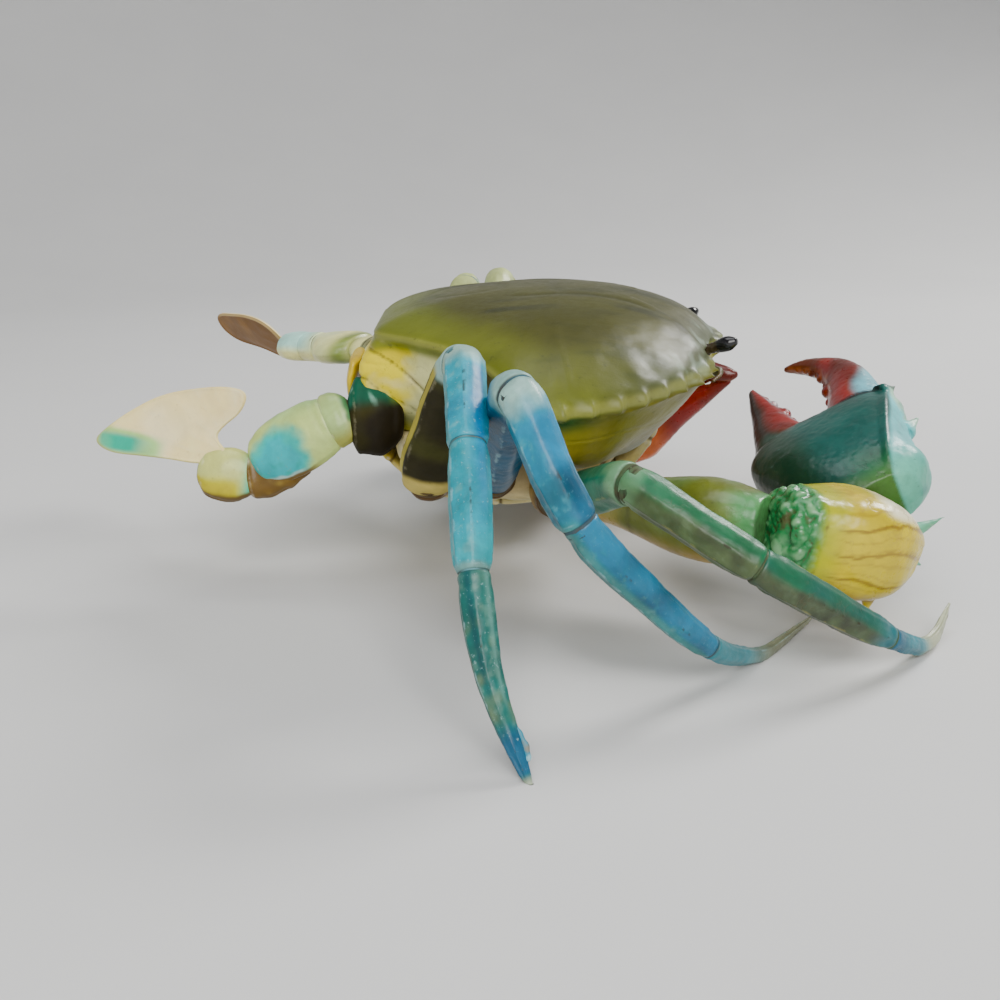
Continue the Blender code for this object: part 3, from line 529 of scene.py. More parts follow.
def shell_relief_group():
    """Fine height of dried shell: pores, brush drag and shallow dents."""
    group, tree, given, out = new_group(
        "shell_relief",
        [("Pore Size", NUMBER, 900.0), ("Pores", NUMBER, 0.4), ("Dents", NUMBER, 0.6), ("Drag", NUMBER, 0.2)],
        [("Height", NUMBER)])
    place = tree.place()
    pores = tree.times(tree.noise(place, given["Pore Size"], 5.0, 0.7), given["Pores"])
    dents = tree.times(tree.noise(place, 190.0, 3.0, 0.5), given["Dents"])
    stretched = tree.add("ShaderNodeMapping", None, Vector=place)
    stretched.inputs["Scale"].default_value = (260.0, 1500.0, 1500.0)
    drag = tree.times(tree.noise(stretched.outputs[0], 1.0, 3.0), given["Drag"])
    tree.put(out["Height"], tree.plus(tree.plus(pores, dents), drag))
    return group


def varnish_group():
    """How matt the varnish is: uneven coats, dull where worn or in the painted crease shade."""
    group, tree, given, out = new_group(
        "varnish",
        [("Shine", NUMBER, 0.3), ("Uneven", NUMBER, 0.15), ("Dull", NUMBER, 0.0)],
        [("Roughness", NUMBER), ("Coat", NUMBER)])
    place = tree.place()
    broad = tree.noise(place, 75.0, 4.0, 0.6)
    fine = tree.noise(place, 520.0, 3.0, 0.6)
    uneven = tree.times(tree.maths("SUBTRACT", tree.plus(broad, fine), 1.0), given["Uneven"])
    rough = tree.maths("ADD", tree.plus(given["Shine"], uneven), tree.times(given["Dull"], 0.35), clamp=True)
    tree.put(out["Roughness"], rough)
    tree.put(out["Coat"], tree.spread(rough, 0.62, 0.22, 0.03, 0.45))
    return group


GROUPS = {}


def shell_finish(name, freckle=BROWN, freckles=0.15, depth=0.35, cloud=120.0, bare=IVORY, worn=0.5,
                 crease_shade=DARK_BROWN, crease_shade_amount=0.8, crack=BROWN, cracks=0.0, crack_spacing=130.0, shine=0.32,
                 uneven=0.18, pores=0.35, dents=0.6, relief=0.10, skin_light=0.0, coat_share=0.7,
                 coat_blur=0.20, gleam=0.40):
    """Painted, varnished shell. The piece's own masks lay out paint, ridges and grooves."""
    made, tree, shader = new_material(name)

    def mask(key, output="Fac"):
        return tree.add("ShaderNodeAttribute", {"attribute_name": key}).outputs[output]

    def group(key, **links):
        node = tree.add("ShaderNodeGroup", {"node_tree": GROUPS[key]})
        for socket, value in links.items():
            tree.put(node.inputs[socket.replace("_", " ")], value)
        return node.outputs

    coat = group("mottled_paint", Paint=mask("paint", "Color"), Cloud_Size=cloud, Depth=depth,
                 Freckle=freckle, Freckle_Amount=freckles)
    edges = group("rubbed_crests", Paint=coat["Paint"], Crest=mask("crest"), Bare=bare, Amount=worn)
    # Painted shade: the dark_creases group darkens the paint along the crease mask.
    joints = group("dark_creases", Paint=edges["Paint"], Crease=mask("crease"), Grime=crease_shade,
                   Amount=crease_shade_amount)
    lines = group("age_cracks", Paint=joints["Paint"], Crack=crack, Spacing=crack_spacing, Amount=cracks,
                  Where=mask("aged"))
    surface = group("shell_relief", Pores=pores, Dents=dents)
    gloss = group("varnish", Shine=shine, Uneven=uneven, Dull=joints["Dark"])
    height = tree.plus(surface["Height"], tree.times(lines["Height"], cracks * 1.5))
    tree.put(shader.inputs["Base Color"], lines["Paint"])
    tree.put(shader.inputs["Roughness"], gloss["Roughness"])
    tree.put(shader.inputs["Coat Weight"], tree.times(gloss["Coat"], coat_share))
    tree.put(shader.inputs["Normal"], tree.raised(height, 0.55, relief))
    for socket, value in (("Coat Roughness", coat_blur), ("Specular IOR Level", gleam), ("IOR", 1.5),
                          ("Subsurface Weight", skin_light), ("Subsurface Radius", (1.0, 0.7, 0.4)),
                          ("Subsurface Scale", 0.8 * MM)):
        shader.inputs[socket].default_value = value
    return made


FINISHES = {}


def build_finishes():
    GROUPS.update(mottled_paint=mottled_paint_group(), rubbed_crests=rubbed_crests_group(),
                  dark_creases=dark_creases_group(), age_cracks=age_cracks_group(),
                  shell_relief=shell_relief_group(), varnish=varnish_group())
    FINISHES.update(
        shell=shell_finish("olive_shell", depth=0.28, cloud=65.0, freckle=OLIVE_DEEP, freckles=0.35,
                           shine=0.40, worn=0.35, bare=MOSS, cracks=0.15, pores=0.55, relief=0.14,
                           coat_share=0.30, coat_blur=0.30, gleam=0.28),
        body=shell_finish("cream_underside", depth=0.40, freckle=TAN, freckles=0.3, shine=0.5, crease_shade=BROWN,
                          worn=0.3, relief=0.12),
        fold=shell_finish("yellow_tail_fold", depth=0.35, freckle=TAN, freckles=0.25, shine=0.42,
                          crease_shade=BROWN),
        leg_blue=shell_finish("blue_leg_paint", depth=0.45, cloud=150.0, freckle=(0.30, 0.50, 0.50),
                              freckles=0.45, bare=PALE_SKY, shine=0.42, cracks=0.2, pores=0.9, relief=0.16,
                              coat_share=0.4),
        leg_deep=shell_finish("deep_blue_leg_paint", depth=0.40, cloud=150.0, freckle=(0.10, 0.30, 0.36),
                              freckles=0.30, bare=PALE_SKY, worn=0.40, shine=0.38, cracks=0.2, pores=0.8,
                              relief=0.15, coat_share=0.5),
        leg_green=shell_finish("green_leg_paint", depth=0.40, cloud=140.0, freckle=BOTTLE, freckles=0.25,
                               bare=LEMON, worn=0.25, shine=0.40, cracks=0.25, pores=0.8,
                               relief=0.15, coat_share=0.45),
        # Matt finish for the pieces that carry painted shade: leg 4's merus and the near paddle's coxa.
        leg_brown=shell_finish("brown_leg_paint", depth=0.45, cloud=110.0, freckle=BLACK, freckles=0.3,
                               bare=CREAM, worn=0.15, crease_shade=BLACK, shine=0.62, gleam=0.18),
        joint=shell_finish("joint_skin", depth=0.5, cloud=260.0, freckle=DARK_BROWN, freckles=0.4, bare=TAN,
                           worn=0.4, shine=0.62, uneven=0.1, relief=0.2),
        paddle=shell_finish("pale_paddle_paint", depth=0.36, freckle=OCHRE, freckles=0.22, worn=0.35,
                            crease_shade=BROWN, shine=0.38),
        blade=shell_finish("thin_blade_paint", depth=0.22, cloud=90.0, freckle=TAN, freckles=0.14, worn=0.20,
                           crease_shade=BROWN, crease_shade_amount=0.6, shine=0.52, skin_light=0.25, coat_share=0.2,
                           gleam=0.25),
        claw_dark=shell_finish("dark_claw_paint", depth=0.42, cloud=85.0, freckle=BLACK, freckles=0.30,
                               bare=PALE_SKY, worn=0.35, crease_shade=BLACK, shine=0.36, uneven=0.16, cracks=0.3,
                               crack=BLACK, coat_share=0.45, coat_blur=0.24, gleam=0.35),
        claw_yellow=shell_finish("yellow_wrist_paint", depth=0.34, cloud=100.0, freckle=TAN, freckles=0.20,
                                 worn=0.25, crease_shade=BROWN, shine=0.30, cracks=0.45,
                                 crack=TAN, crack_spacing=95.0),
        claw_olive=shell_finish("olive_arm_paint", depth=0.40, cloud=90.0, freckle=DARK_BROWN, freckles=0.25,
                                bare=LEMON, worn=0.35, cracks=0.3),
        claw_red=shell_finish("red_finger_paint", depth=0.42, cloud=110.0, freckle=BLACK, freckles=0.28,
                              bare=ORANGE, worn=0.30, crease_shade=BLACK, shine=0.30, cracks=0.2),
        eye=shell_finish("eye_gloss", depth=0.2, freckle=BLACK, freckles=0.1, bare=BROWN, worn=0.2,
                         shine=0.10, uneven=0.04, pores=0.1, dents=0.1, relief=0.03),
        feeler=shell_finish("feeler_paint", depth=0.4, cloud=300.0, freckles=0.3, worn=0.4, shine=0.5),
    )


# ---------------------------------------------------------------- walking legs

# Bend radius at the hip, knee, wrist, ankle and in the last plate
LEG_BENDS = (6.0, 6.0, 34.0, 46.0)
TOE_BEND = {"leg_2": (26.0,), "leg_3": (26.0,), "leg_4": (90.0,)}
LEG_PIECES = ("coxa", "merus", "carpus", "propodus", "dactylus")
# Joints of the walking legs: root, hip, knee, wrist, ankle, bend, tip
RIGHT_LEGS = {
    "leg_2": [(17, -23.5, 28), (18, -36, 28), (30.5, -72, 43.5), (55.5, -86, 29.5),
              (88, -75, 8.6), (102, -62, 0.4), (110.5, -50, 6.5)],
    "leg_3": [(3, -23.5, 32), (3.5, -36, 33.5), (6.7, -84, 67.0), (17.6, -95, 41),
              (47.5, -82, 9.4), (62, -66, 0.4), (79, -47, 2.0)],
    "leg_4": [(-10.5, -23.5, 32), (-13, -35, 32), (-3.6, -58, 67.8), (-2.5, -80, 53.5),
              (-1.6, -97, 33), (1.0, -108, 16), (8.8, -117.2, -1)],
}
LEFT_LEGS = {
    "leg_2": [(15.5, 23.5, 30), (15.5, 36, 30), (15, 79, 55), (28, 101, 42),
              (41, 114, 18), (45, 117.5, 8), (48.5, 119.5, -1)],
    "leg_3": [(3, 23.5, 30.5), (3, 38, 31), (6.5, 84, 68.8), (13, 102, 46),
              (24, 113, 18), (29, 117, 8), (34, 119, -1)],
    "leg_4": [(-10.5, 23.5, 32), (-13, 35, 32), (-4.0, 57, 69.4), (-3.6, 82, 57),
              (-3, 99, 33), (-1, 109, 16), (5, 118, -1)],
}


def swell(start, middle, end):
    """Width stops of a leg piece: from its hinge through its fullest part to its far end."""
    return ((0.0, start), (0.18, blend(start, middle, 0.7)), (0.45, middle), (0.8, blend(middle, end, 0.5)),
            (1.0, end))


# Widths across and through each piece of a walking leg
WALKING_PIECES = {
    "coxa": (swell(9.5, 10.5, 9.0), swell(9.5, 10.5, 9.0)),
    "merus": (swell(7.6, 9.2, 9.0), swell(7.6, 11.0, 9.2)),
    "carpus": (swell(8.4, 8.0, 7.6), swell(8.8, 8.4, 7.6)),
}
PROPODUS = {
    "leg_2": (swell(8.0, 7.0, 5.2), swell(7.4, 6.2, 4.8)),
    "leg_3": (swell(7.4, 6.4, 5.3), swell(7.4, 6.6, 5.0)),
    "leg_4": (swell(7.4, 7.7, 6.1), swell(7.6, 7.8, 6.0)),
}
DACTYLUS = ((0.0, 6.3), (0.2, 6.0), (0.5, 4.6), (0.8, 2.9), (1.0, 1.3))
HOOKED_DACTYLUS = ((0.0, 5.2), (0.1, 4.5), (0.35, 3.4), (0.75, 2.1), (1.0, 0.7))
BROAD_MERUS = (((0.0, 12.0), (0.12, 14.0), (0.45, 13.2), (0.8, 10.6), (1.0, 9.0)), swell(7.6, 9.0, 9.2))
FAR_KNEE = (0.44, 0.47, 0.22)
HIP_TONE = (0.10, 0.075, 0.030)
LEG_JOINT_TONES = {"leg_2": (0.04, 0.10, 0.05), "leg_3": (0.02, 0.09, 0.13), "leg_4": (0.10, 0.22, 0.24)}
LEG_FINISHES = {"leg_2": "leg_green", "leg_3": "leg_deep", "leg_4": "leg_blue"}


def leg_relief(piece, length, seed):
    """Surface of a leg plate and the masks of its crests and creases."""
    tall = {"coxa": 0.2, "merus": 0.42, "carpus": 0.48, "propodus": 0.50, "dactylus": 0.34}[piece]

    def keels(t, angle, points):
        """The two edge keels, the broken seam down the outer face and the hollows beside it."""
        body = soft(t, 0.01, 0.12) * soft(1.0 - t, 0.005, 0.09)
        wander = 0.10 * cloud(points, 9.0, seed)
        edges = sum(bump(turn_from(angle, centre + wander), 0.0, 0.17)
                    for centre in (0.28, 2.86, 3.6, 5.8)) * body
        seam = (bump(turn_from(angle, 1.80 + 1.6 * wander), 0.0, 0.10) * body
                * soft(cloud(points, 5.0, seed + 8), -0.7, 0.1))
        hollow = sum(bump(turn_from(angle, centre + wander), 0.0, 0.30)
                     for centre in (1.15, 2.35, 4.71)) * body
        return edges, seam, hollow

    def relief(t, angle, points):
        edges, seam, hollow = keels(t, angle, points)
        speckle = np.clip(cloud(points, 0.8, seed + 6), 0.0, 1.0)
        rise = tall * edges + 0.45 * tall * seam * (1.0 + speckle) - 0.40 * tall * hollow
        rise += 0.22 * cloud(points, 6.5, seed + 1) + 0.13 * rough_cloud(points, 1.7, seed + 2)
        near, far = t * length, (1.0 - t) * length
        if piece != "dactylus":
            rise += 0.10 * bump(far, 1.0, 0.7) - 0.10 * bump(far, 3.0, 0.9) * soft(np.cos(angle), -0.2, 0.8)
        rise += 0.05 * bump(near, 0.9, 0.6) - 0.10 * bump(near, 2.3, 0.8) * soft(-np.cos(angle), -0.2, 0.8)
        return rise

    def masks(t, angle, points):
        edges, seam, _ = keels(t, angle, points)
        speckle = np.clip(cloud(points, 0.8, seed + 6), 0.0, 1.0)
        near, far = t * length, (1.0 - t) * length
        ragged = 0.45 + 0.75 * soft(rough_cloud(points, 2.4, seed + 9), -0.35, 0.35)
        crest = 0.55 * edges * ragged + 0.30 * seam + 0.15 * bump(near, 0.9, 0.5)
        crease = 0.9 * seam * soft(speckle, 0.05, 0.45) * soft(t, 0.15, 0.35) + 0.6 * soft(-near, -0.35, 0.1)
        if piece != "dactylus":
            crest += 0.40 * bump(far, 0.9, 0.6)
            crease += 0.8 * soft(-far, -0.35, 0.1)
        return {"crest": crest, "crease": crease, "aged": soft(cloud(points, 14.0, seed + 5), -0.3, 0.5)}

    return relief, masks


def leg_paint(leg, piece, t, angle, points):
    """Colours of one plate. Angle 0 is its front edge, a quarter turn its outer face."""
    shape = t.shape
    drift = 0.5 * cloud(points, 7.0, 11)
    fine = 0.5 * cloud(points, 2.2, 12)
    grain = soft(rough_cloud(points, 1.5, 19), 0.05, 0.45)
    rear = soft(turn_from(angle, 0.0) + 0.35 * drift, 1.45, 2.1)  # the rear and lower face
    inner = soft(turn_from(angle, 1.5 * math.pi) + 0.2 * drift, 1.2, 0.7)
    stripe = bump(turn_from(angle, 1.12 + 0.3 * drift), 0.0, 0.46)
    if piece == "coxa":
        return coats(paint(shape, (0.34, 0.26, 0.10)),
            (TAN, 0.5 + 0.5 * cloud(points, 4.0, 2)),
            (BROWN, soft(t, 0.55, 1.0)))
    if leg == "leg_4":
        if piece == "merus":
            edge = turn_from(angle, math.pi)
            rim = np.maximum(bump(turn_from(angle, 0.0), 0.0, 0.14), soft(edge, 0.26, 0.14))
            # Painted shade: leg 4's merus is dark brown made near-black, as it lies in shadow.
            return coats(paint(shape, (0.020, 0.017, 0.006)),
                ((0.050, 0.052, 0.014), soft(drift, 0.0, 0.5) * 0.7),
                ((0.46, 0.40, 0.12), rim * 0.9),
                ((0.030, 0.024, 0.010), bump(edge - 0.10, 0.0, 0.03) * 0.8),
                ((0.60, 0.50, 0.20), soft(0.13 - t + 0.03 * drift, -0.02, 0.04) * 0.85),
                ((0.36, 0.52, 0.48), soft(t + 0.05 * drift, 0.88, 0.96)))
        if piece == "carpus":
            return coats(paint(shape, (0.050, 0.30, 0.38)),
                ((0.025, 0.24, 0.34), soft(drift, -0.2, 0.4)),
                ((0.001, 0.17, 0.34), stripe * soft(t, 0.14, 0.30)),
                ((0.24, 0.44, 0.44), grain * (0.05 + 0.35 * rear)),
                ((0.010, 0.14, 0.20), soft(fine + drift, 0.25, 0.55) * 0.5),
                ((0.42, 0.54, 0.45), soft(t + 0.06 * fine, 0.24, 0.06) * 0.8))
        if piece == "propodus":
            return coats(paint(shape, (0.040, 0.27, 0.33)),
                ((0.070, 0.30, 0.32), soft(drift, -0.2, 0.5)),
                ((0.004, 0.25, 0.42), stripe * soft(t, 0.85, 0.12) * 0.9),
                ((0.22, 0.40, 0.38), grain * (0.05 + 0.35 * rear)),
                ((0.008, 0.12, 0.16), soft(fine + drift, 0.25, 0.55) * 0.5),
                ((0.20, 0.27, 0.22), soft(t + 0.03 * fine, 0.93, 0.98) * 0.6))
        return coats(paint(shape, (0.018, 0.115, 0.100)),
            ((0.12, 0.17, 0.10), soft(fine + 0.6 * t, 0.15, 0.75) * 0.8),
            ((0.14, 0.26, 0.21), grain * 0.5),
            ((0.003, 0.06, 0.07), bump(turn_from(angle, 2.2), 0.0, 0.30) * soft(t, 0.65, 0.4) * 0.8),
            ((0.16, 0.32, 0.28), bump(turn_from(angle, 1.0), 0.0, 0.25) * soft(t, 0.7, 0.5) * 0.6),
            ((0.001, 0.090, 0.16), soft(t + 0.1 * drift, 0.66, 0.78) * soft(t, 0.97, 0.92)),
            ((0.44, 0.48, 0.38), soft(t, 0.94, 0.98) * 0.85))
    if leg == "leg_3":
        if piece == "merus":
            return coats(paint(shape, (0.002, 0.10, 0.18)),
                ((0.001, 0.04, 0.08), soft(drift, -0.3, 0.5) * 0.8),
                ((0.30, 0.46, 0.42), soft(t + 0.04 * drift, 0.88, 0.98) * 0.9))
        if piece == "carpus":
            return coats(paint(shape, (0.008, 0.200, 0.34)),
                ((0.001, 0.038, 0.070), soft(t + 0.5 * drift, 0.45, 0.90) * 0.92),
                ((0.03, 0.20, 0.26), rear * 0.4),
                ((0.14, 0.34, 0.38), grain * (0.05 + 0.4 * rear)),
                ((0.36, 0.52, 0.46), soft(t + 0.10 * fine, 0.24, 0.06) * 0.9),
                ((0.10, 0.30, 0.28), soft(t, 0.90, 1.0) * rear * 0.7))
        if piece == "propodus":
            return coats(paint(shape, (0.004, 0.150, 0.25)),
                ((0.001, 0.040, 0.075), soft(drift, -0.2, 0.5) * 0.8),
                ((0.06, 0.17, 0.15), rear * soft(turn_from(angle, math.pi), 1.1, 0.5) * 0.8),
                ((0.12, 0.24, 0.22), grain * (0.05 + 0.4 * rear)),
                ((0.05, 0.12, 0.09), inner * 0.6))
        return coats(paint(shape, (0.05, 0.18, 0.21)),
            ((0.03, 0.13, 0.18), soft(drift, -0.2, 0.4) * 0.6),
            ((0.24, 0.25, 0.18), soft(t, 0.25, 0.6)))
    if piece == "merus":
        return coats(paint(shape, (0.010, 0.10, 0.065)),
            ((0.03, 0.17, 0.10), soft(drift, -0.3, 0.5)),
            ((0.24, 0.38, 0.22), soft(t + 0.06 * fine, 0.90, 0.98) * 0.6),
            ((0.10, 0.12, 0.03), inner * 0.7))
    if piece == "carpus":
        return coats(paint(shape, (0.004, 0.115, 0.050)),
            ((0.006, 0.075, 0.028), soft(drift, -0.3, 0.4) * 0.7),
            ((0.075, 0.10, 0.045), rear * 0.95),
            ((0.13, 0.18, 0.11), grain * (0.02 + 0.3 * rear)),
            ((0.022, 0.025, 0.010), rear * soft(fine, -0.1, 0.4) * 0.5),
            ((0.16, 0.32, 0.17), soft(t + 0.06 * fine, 0.16, 0.04) * 0.6))
    if piece == "propodus":
        return coats(paint(shape, (0.003, 0.095, 0.046)),
            ((0.003, 0.065, 0.055), soft(drift, -0.3, 0.4)),
            ((0.050, 0.065, 0.030), rear * 0.95),
            ((0.11, 0.15, 0.09), grain * (0.02 + 0.3 * rear)),
            ((0.015, 0.017, 0.007), rear * soft(fine + drift, -0.1, 0.5) * 0.8),
            ((0.003, 0.11, 0.15), soft(t, 0.78, 0.96) * 0.7))
    return coats(paint(shape, (0.004, 0.10, 0.16)),
        ((0.03, 0.17, 0.20), soft(drift, -0.2, 0.5)),
        ((0.40, 0.42, 0.31), soft(t, 0.34, 0.56)))


SKIN_REACH = 2.2  # how far joint skin runs into the plates on both sides
SKIN_FIT = 0.93  # its width, as a share of the plates' own


def joint_skin(name, line, mark, wide, deep, normal, seed, tone):
    """The wrinkled skin that bridges two plates."""
    def wrinkles(t, angle):
        return np.sin(t * 26.0 + 1.5 * np.sin(angle))

    def relief(t, angle, points):
        return 0.05 * wrinkles(t, angle) + 0.06 * cloud(points, 1.2, seed)

    even_wide, even_deep = (((0.0, width * SKIN_FIT), (1.0, width * SKIN_FIT)) for width in (wide, deep))
    grid, t, angle = tube(line, mark - SKIN_REACH, mark + SKIN_REACH, even_wide, even_deep, normal, relief,
                          sides=36, step=0.35)
    colour = brush(paint(t.shape, tone), BROWN, 0.3 + 0.4 * cloud(grid, 2.0, seed))
    crease = soft(wrinkles(t, angle), 0.1, -0.9)
    skin(name, grid, FINISHES["joint"],
         masks={"paint": colour, "crease": crease, "crest": 0.3 * (1.0 - crease), "aged": 0.0 * t})


def flaky_fin(joints):
    """The ragged sliver of shell peeling off the near leg's end."""
    bend, tip = (vec(*joint) for joint in joints[5:])
    along = unit(tip - bend)
    out = unit(vec(1.0, 0.0, 0.25) - along * (vec(1.0, 0.0, 0.25) @ along))
    through = np.cross(along, out)
    start = blend(bend, tip, 0.36) + out * 0.9
    angles = ring_angles(20)
    length, half_thick = 8.8, 0.32
    rings = []
    for t in np.linspace(0.0, 1.0, 26):
        centre = start + along * (length * t) + out * (0.3 + 0.7 * math.sin(2.6 * t))
        reach = (0.35 + 0.95 * t) * math.sqrt(max(1.0 - t ** 5, 0.02)) * (1.0 + 0.18 * math.sin(t * 21.0))
        rings.append(centre + out * (np.cos(angles) * reach)[:, None] * 0.8
                     + through * (np.sin(angles) * half_thick)[:, None])
    grid = np.array(rings)
    t = np.linspace(0.0, 1.0, len(grid))[:, None] * np.ones(grid.shape[:2])
    colour = brush(paint(t.shape, (0.05, 0.22, 0.30)), TAN, soft(cloud(grid, 1.2, 4), -0.2, 0.4) * 0.6)
    skin("leg_4_right_flaked_edge", grid, FINISHES["leg_blue"],
         masks={"paint": colour, "crest": soft(t, 0.75, 1.0),
                "crease": 0.3 * soft(cloud(grid, 1.0, 6), 0.0, 0.6), "aged": t})


def walking_leg(leg, side, joints):
    """Five plates in a row and the skin in the joints between them."""
    line = limb_line(joints, LEG_BENDS + TOE_BEND[leg])
    marks = line[2]
    places = marks[:5] + marks[6:]  # the bend at marks[5] lies inside the last plate
    corner = [vec(*joint) for joint in joints]
    normal = unit(np.cross(corner[2] - corner[1], corner[4] - corner[2]))
    for index, piece in enumerate(LEG_PIECES):
        start = places[index] + (GAP / 2 if index else 0.0)
        end = places[index + 1] - (GAP / 2 if index < 4 else 0.0)
        if piece == "dactylus":
            wide = deep = HOOKED_DACTYLUS if leg != "leg_4" else DACTYLUS
        else:
            wide, deep = PROPODUS[leg] if piece == "propodus" else WALKING_PIECES[piece]
        if (leg, piece) == ("leg_4", "merus"):
            wide, deep = BROAD_MERUS
        seed = 10 * int(leg[-1]) + index + (5 if side == "left" else 0)
        relief, masks = leg_relief(piece, end - start, seed)
        grid, t, angle = tube(line, start, end, wide, deep, normal, relief, sides=56 if index else 40,
                              step=0.45, squareness=2.25, edge=0.7, pinch=0.05)
        facing = angle if side == "right" else math.pi - angle
        laid = masks(t, angle, grid)
        laid["paint"] = leg_paint(leg, piece, t, facing, grid)
        if side == "left" and piece in ("merus", "carpus"):
            knee = soft(t, 0.72, 0.90) if piece == "merus" else soft(t, 0.45, 0.15)
            laid["paint"] = brush(laid["paint"], FAR_KNEE, knee * 0.9)
        finish = FINISHES[LEG_FINISHES[leg]]
        if piece == "coxa":
            finish = FINISHES["body"]
        if (leg, piece) == ("leg_4", "merus"):
            finish = FINISHES["leg_brown"]
        name = f"{leg}_{side}_{piece}"
        skin(f"{name}_plate", grid, finish, (name,), laid)
        if index < 4:
            joint_skin(f"{name}_joint_skin", line, places[index + 1], wide[-1][1], deep[-1][1], normal,
                       seed, LEG_JOINT_TONES[leg] if index else HIP_TONE)


# ---------------------------------------------------------------- paddle legs

PADDLE_PARTS = ("coxa", "ischium", "merus", "carpus", "propodus")
# Joints: root, end of the coxa, end of the ischium, knee, wrist, blade joint
RIGHT_PADDLE = {
    "joints": [(-21, -17, 45), (-31.5, -19.3, 43.8), (-36, -19.4, 42.4), (-55.5, -19, 33.4),
               (-60, -19, 30.8), (-69.5, -18.6, 32.1)],
    "across": vec(0.12, 0.30, 0.94),
    "blade_along": vec(-0.97, 0.20, 0.135),
    "blade_across": vec(0.12, 0.30, 0.94),
    "blade_corners": [(-0.13, 0.03), (0.05, 0.005), (0.20, 0.005), (0.42, -0.01), (0.64, -0.03), (0.77, 0.03),
                      (0.70, 0.13), (0.56, 0.27), (0.34, 0.43), (0.07, 0.52), (-0.11, 0.555),
                      (-0.25, 0.54), (-0.23, 0.40), (-0.12, 0.29), (-0.075, 0.20), (-0.19, 0.12)],
}
LEFT_PADDLE = {
    "joints": [(-20, 14, 52), (-28.5, 21, 54.5), (-33.5, 25.5, 54.6), (-46, 35.5, 53.2),
               (-50.5, 39.5, 52.6), (-57.8, 45.6, 51.9)],
    "across": vec(0.62, 0.75, 0.10),
    "blade_along": vec(-0.75, 0.62, 0.23),
    "blade_across": vec(0.05, -0.80, 0.60),
    "blade_corners": [(0.03, -0.20), (0.25, -0.26), (0.50, -0.30), (0.80, -0.34), (0.97, -0.27),
                      (0.90, -0.07), (0.62, 0.06), (0.40, 0.15), (0.15, 0.20), (0.02, 0.14),
                      (-0.03, -0.03)],
}
# Widths across and through each piece of a paddle leg
PADDLE_PIECES = {
    "coxa": (((0.0, 12.0), (0.5, 18.0), (1.0, 13.0)), ((0.0, 10.0), (0.5, 11.0), (1.0, 9.0))),
    "ischium": (((0.0, 12.0), (0.5, 13.0), (1.0, 11.0)), ((0.0, 7.0), (0.5, 7.0), (1.0, 6.5))),
    "merus": (((0.0, 12.0), (0.25, 18.0), (0.5, 19.5), (0.75, 16.5), (1.0, 9.5)),
              ((0.0, 7.6), (0.3, 8.2), (0.6, 8.4), (1.0, 8.3))),
    "carpus": (((0.0, 9.5), (0.5, 10.0), (1.0, 10.0)), ((0.0, 8.3), (0.5, 8.3), (1.0, 8.3))),
    "propodus": (((0.0, 10.0), (0.45, 13.5), (0.8, 12.0), (1.0, 8.0)), ((0.0, 8.3), (0.5, 8.3), (1.0, 7.4))),
}
BLADE_LENGTH = 38.0  # the unit of the blades' corners: along from the joint, then across
BLADE_THICKNESS = 1.6
BLADE_ROOT = 1.9


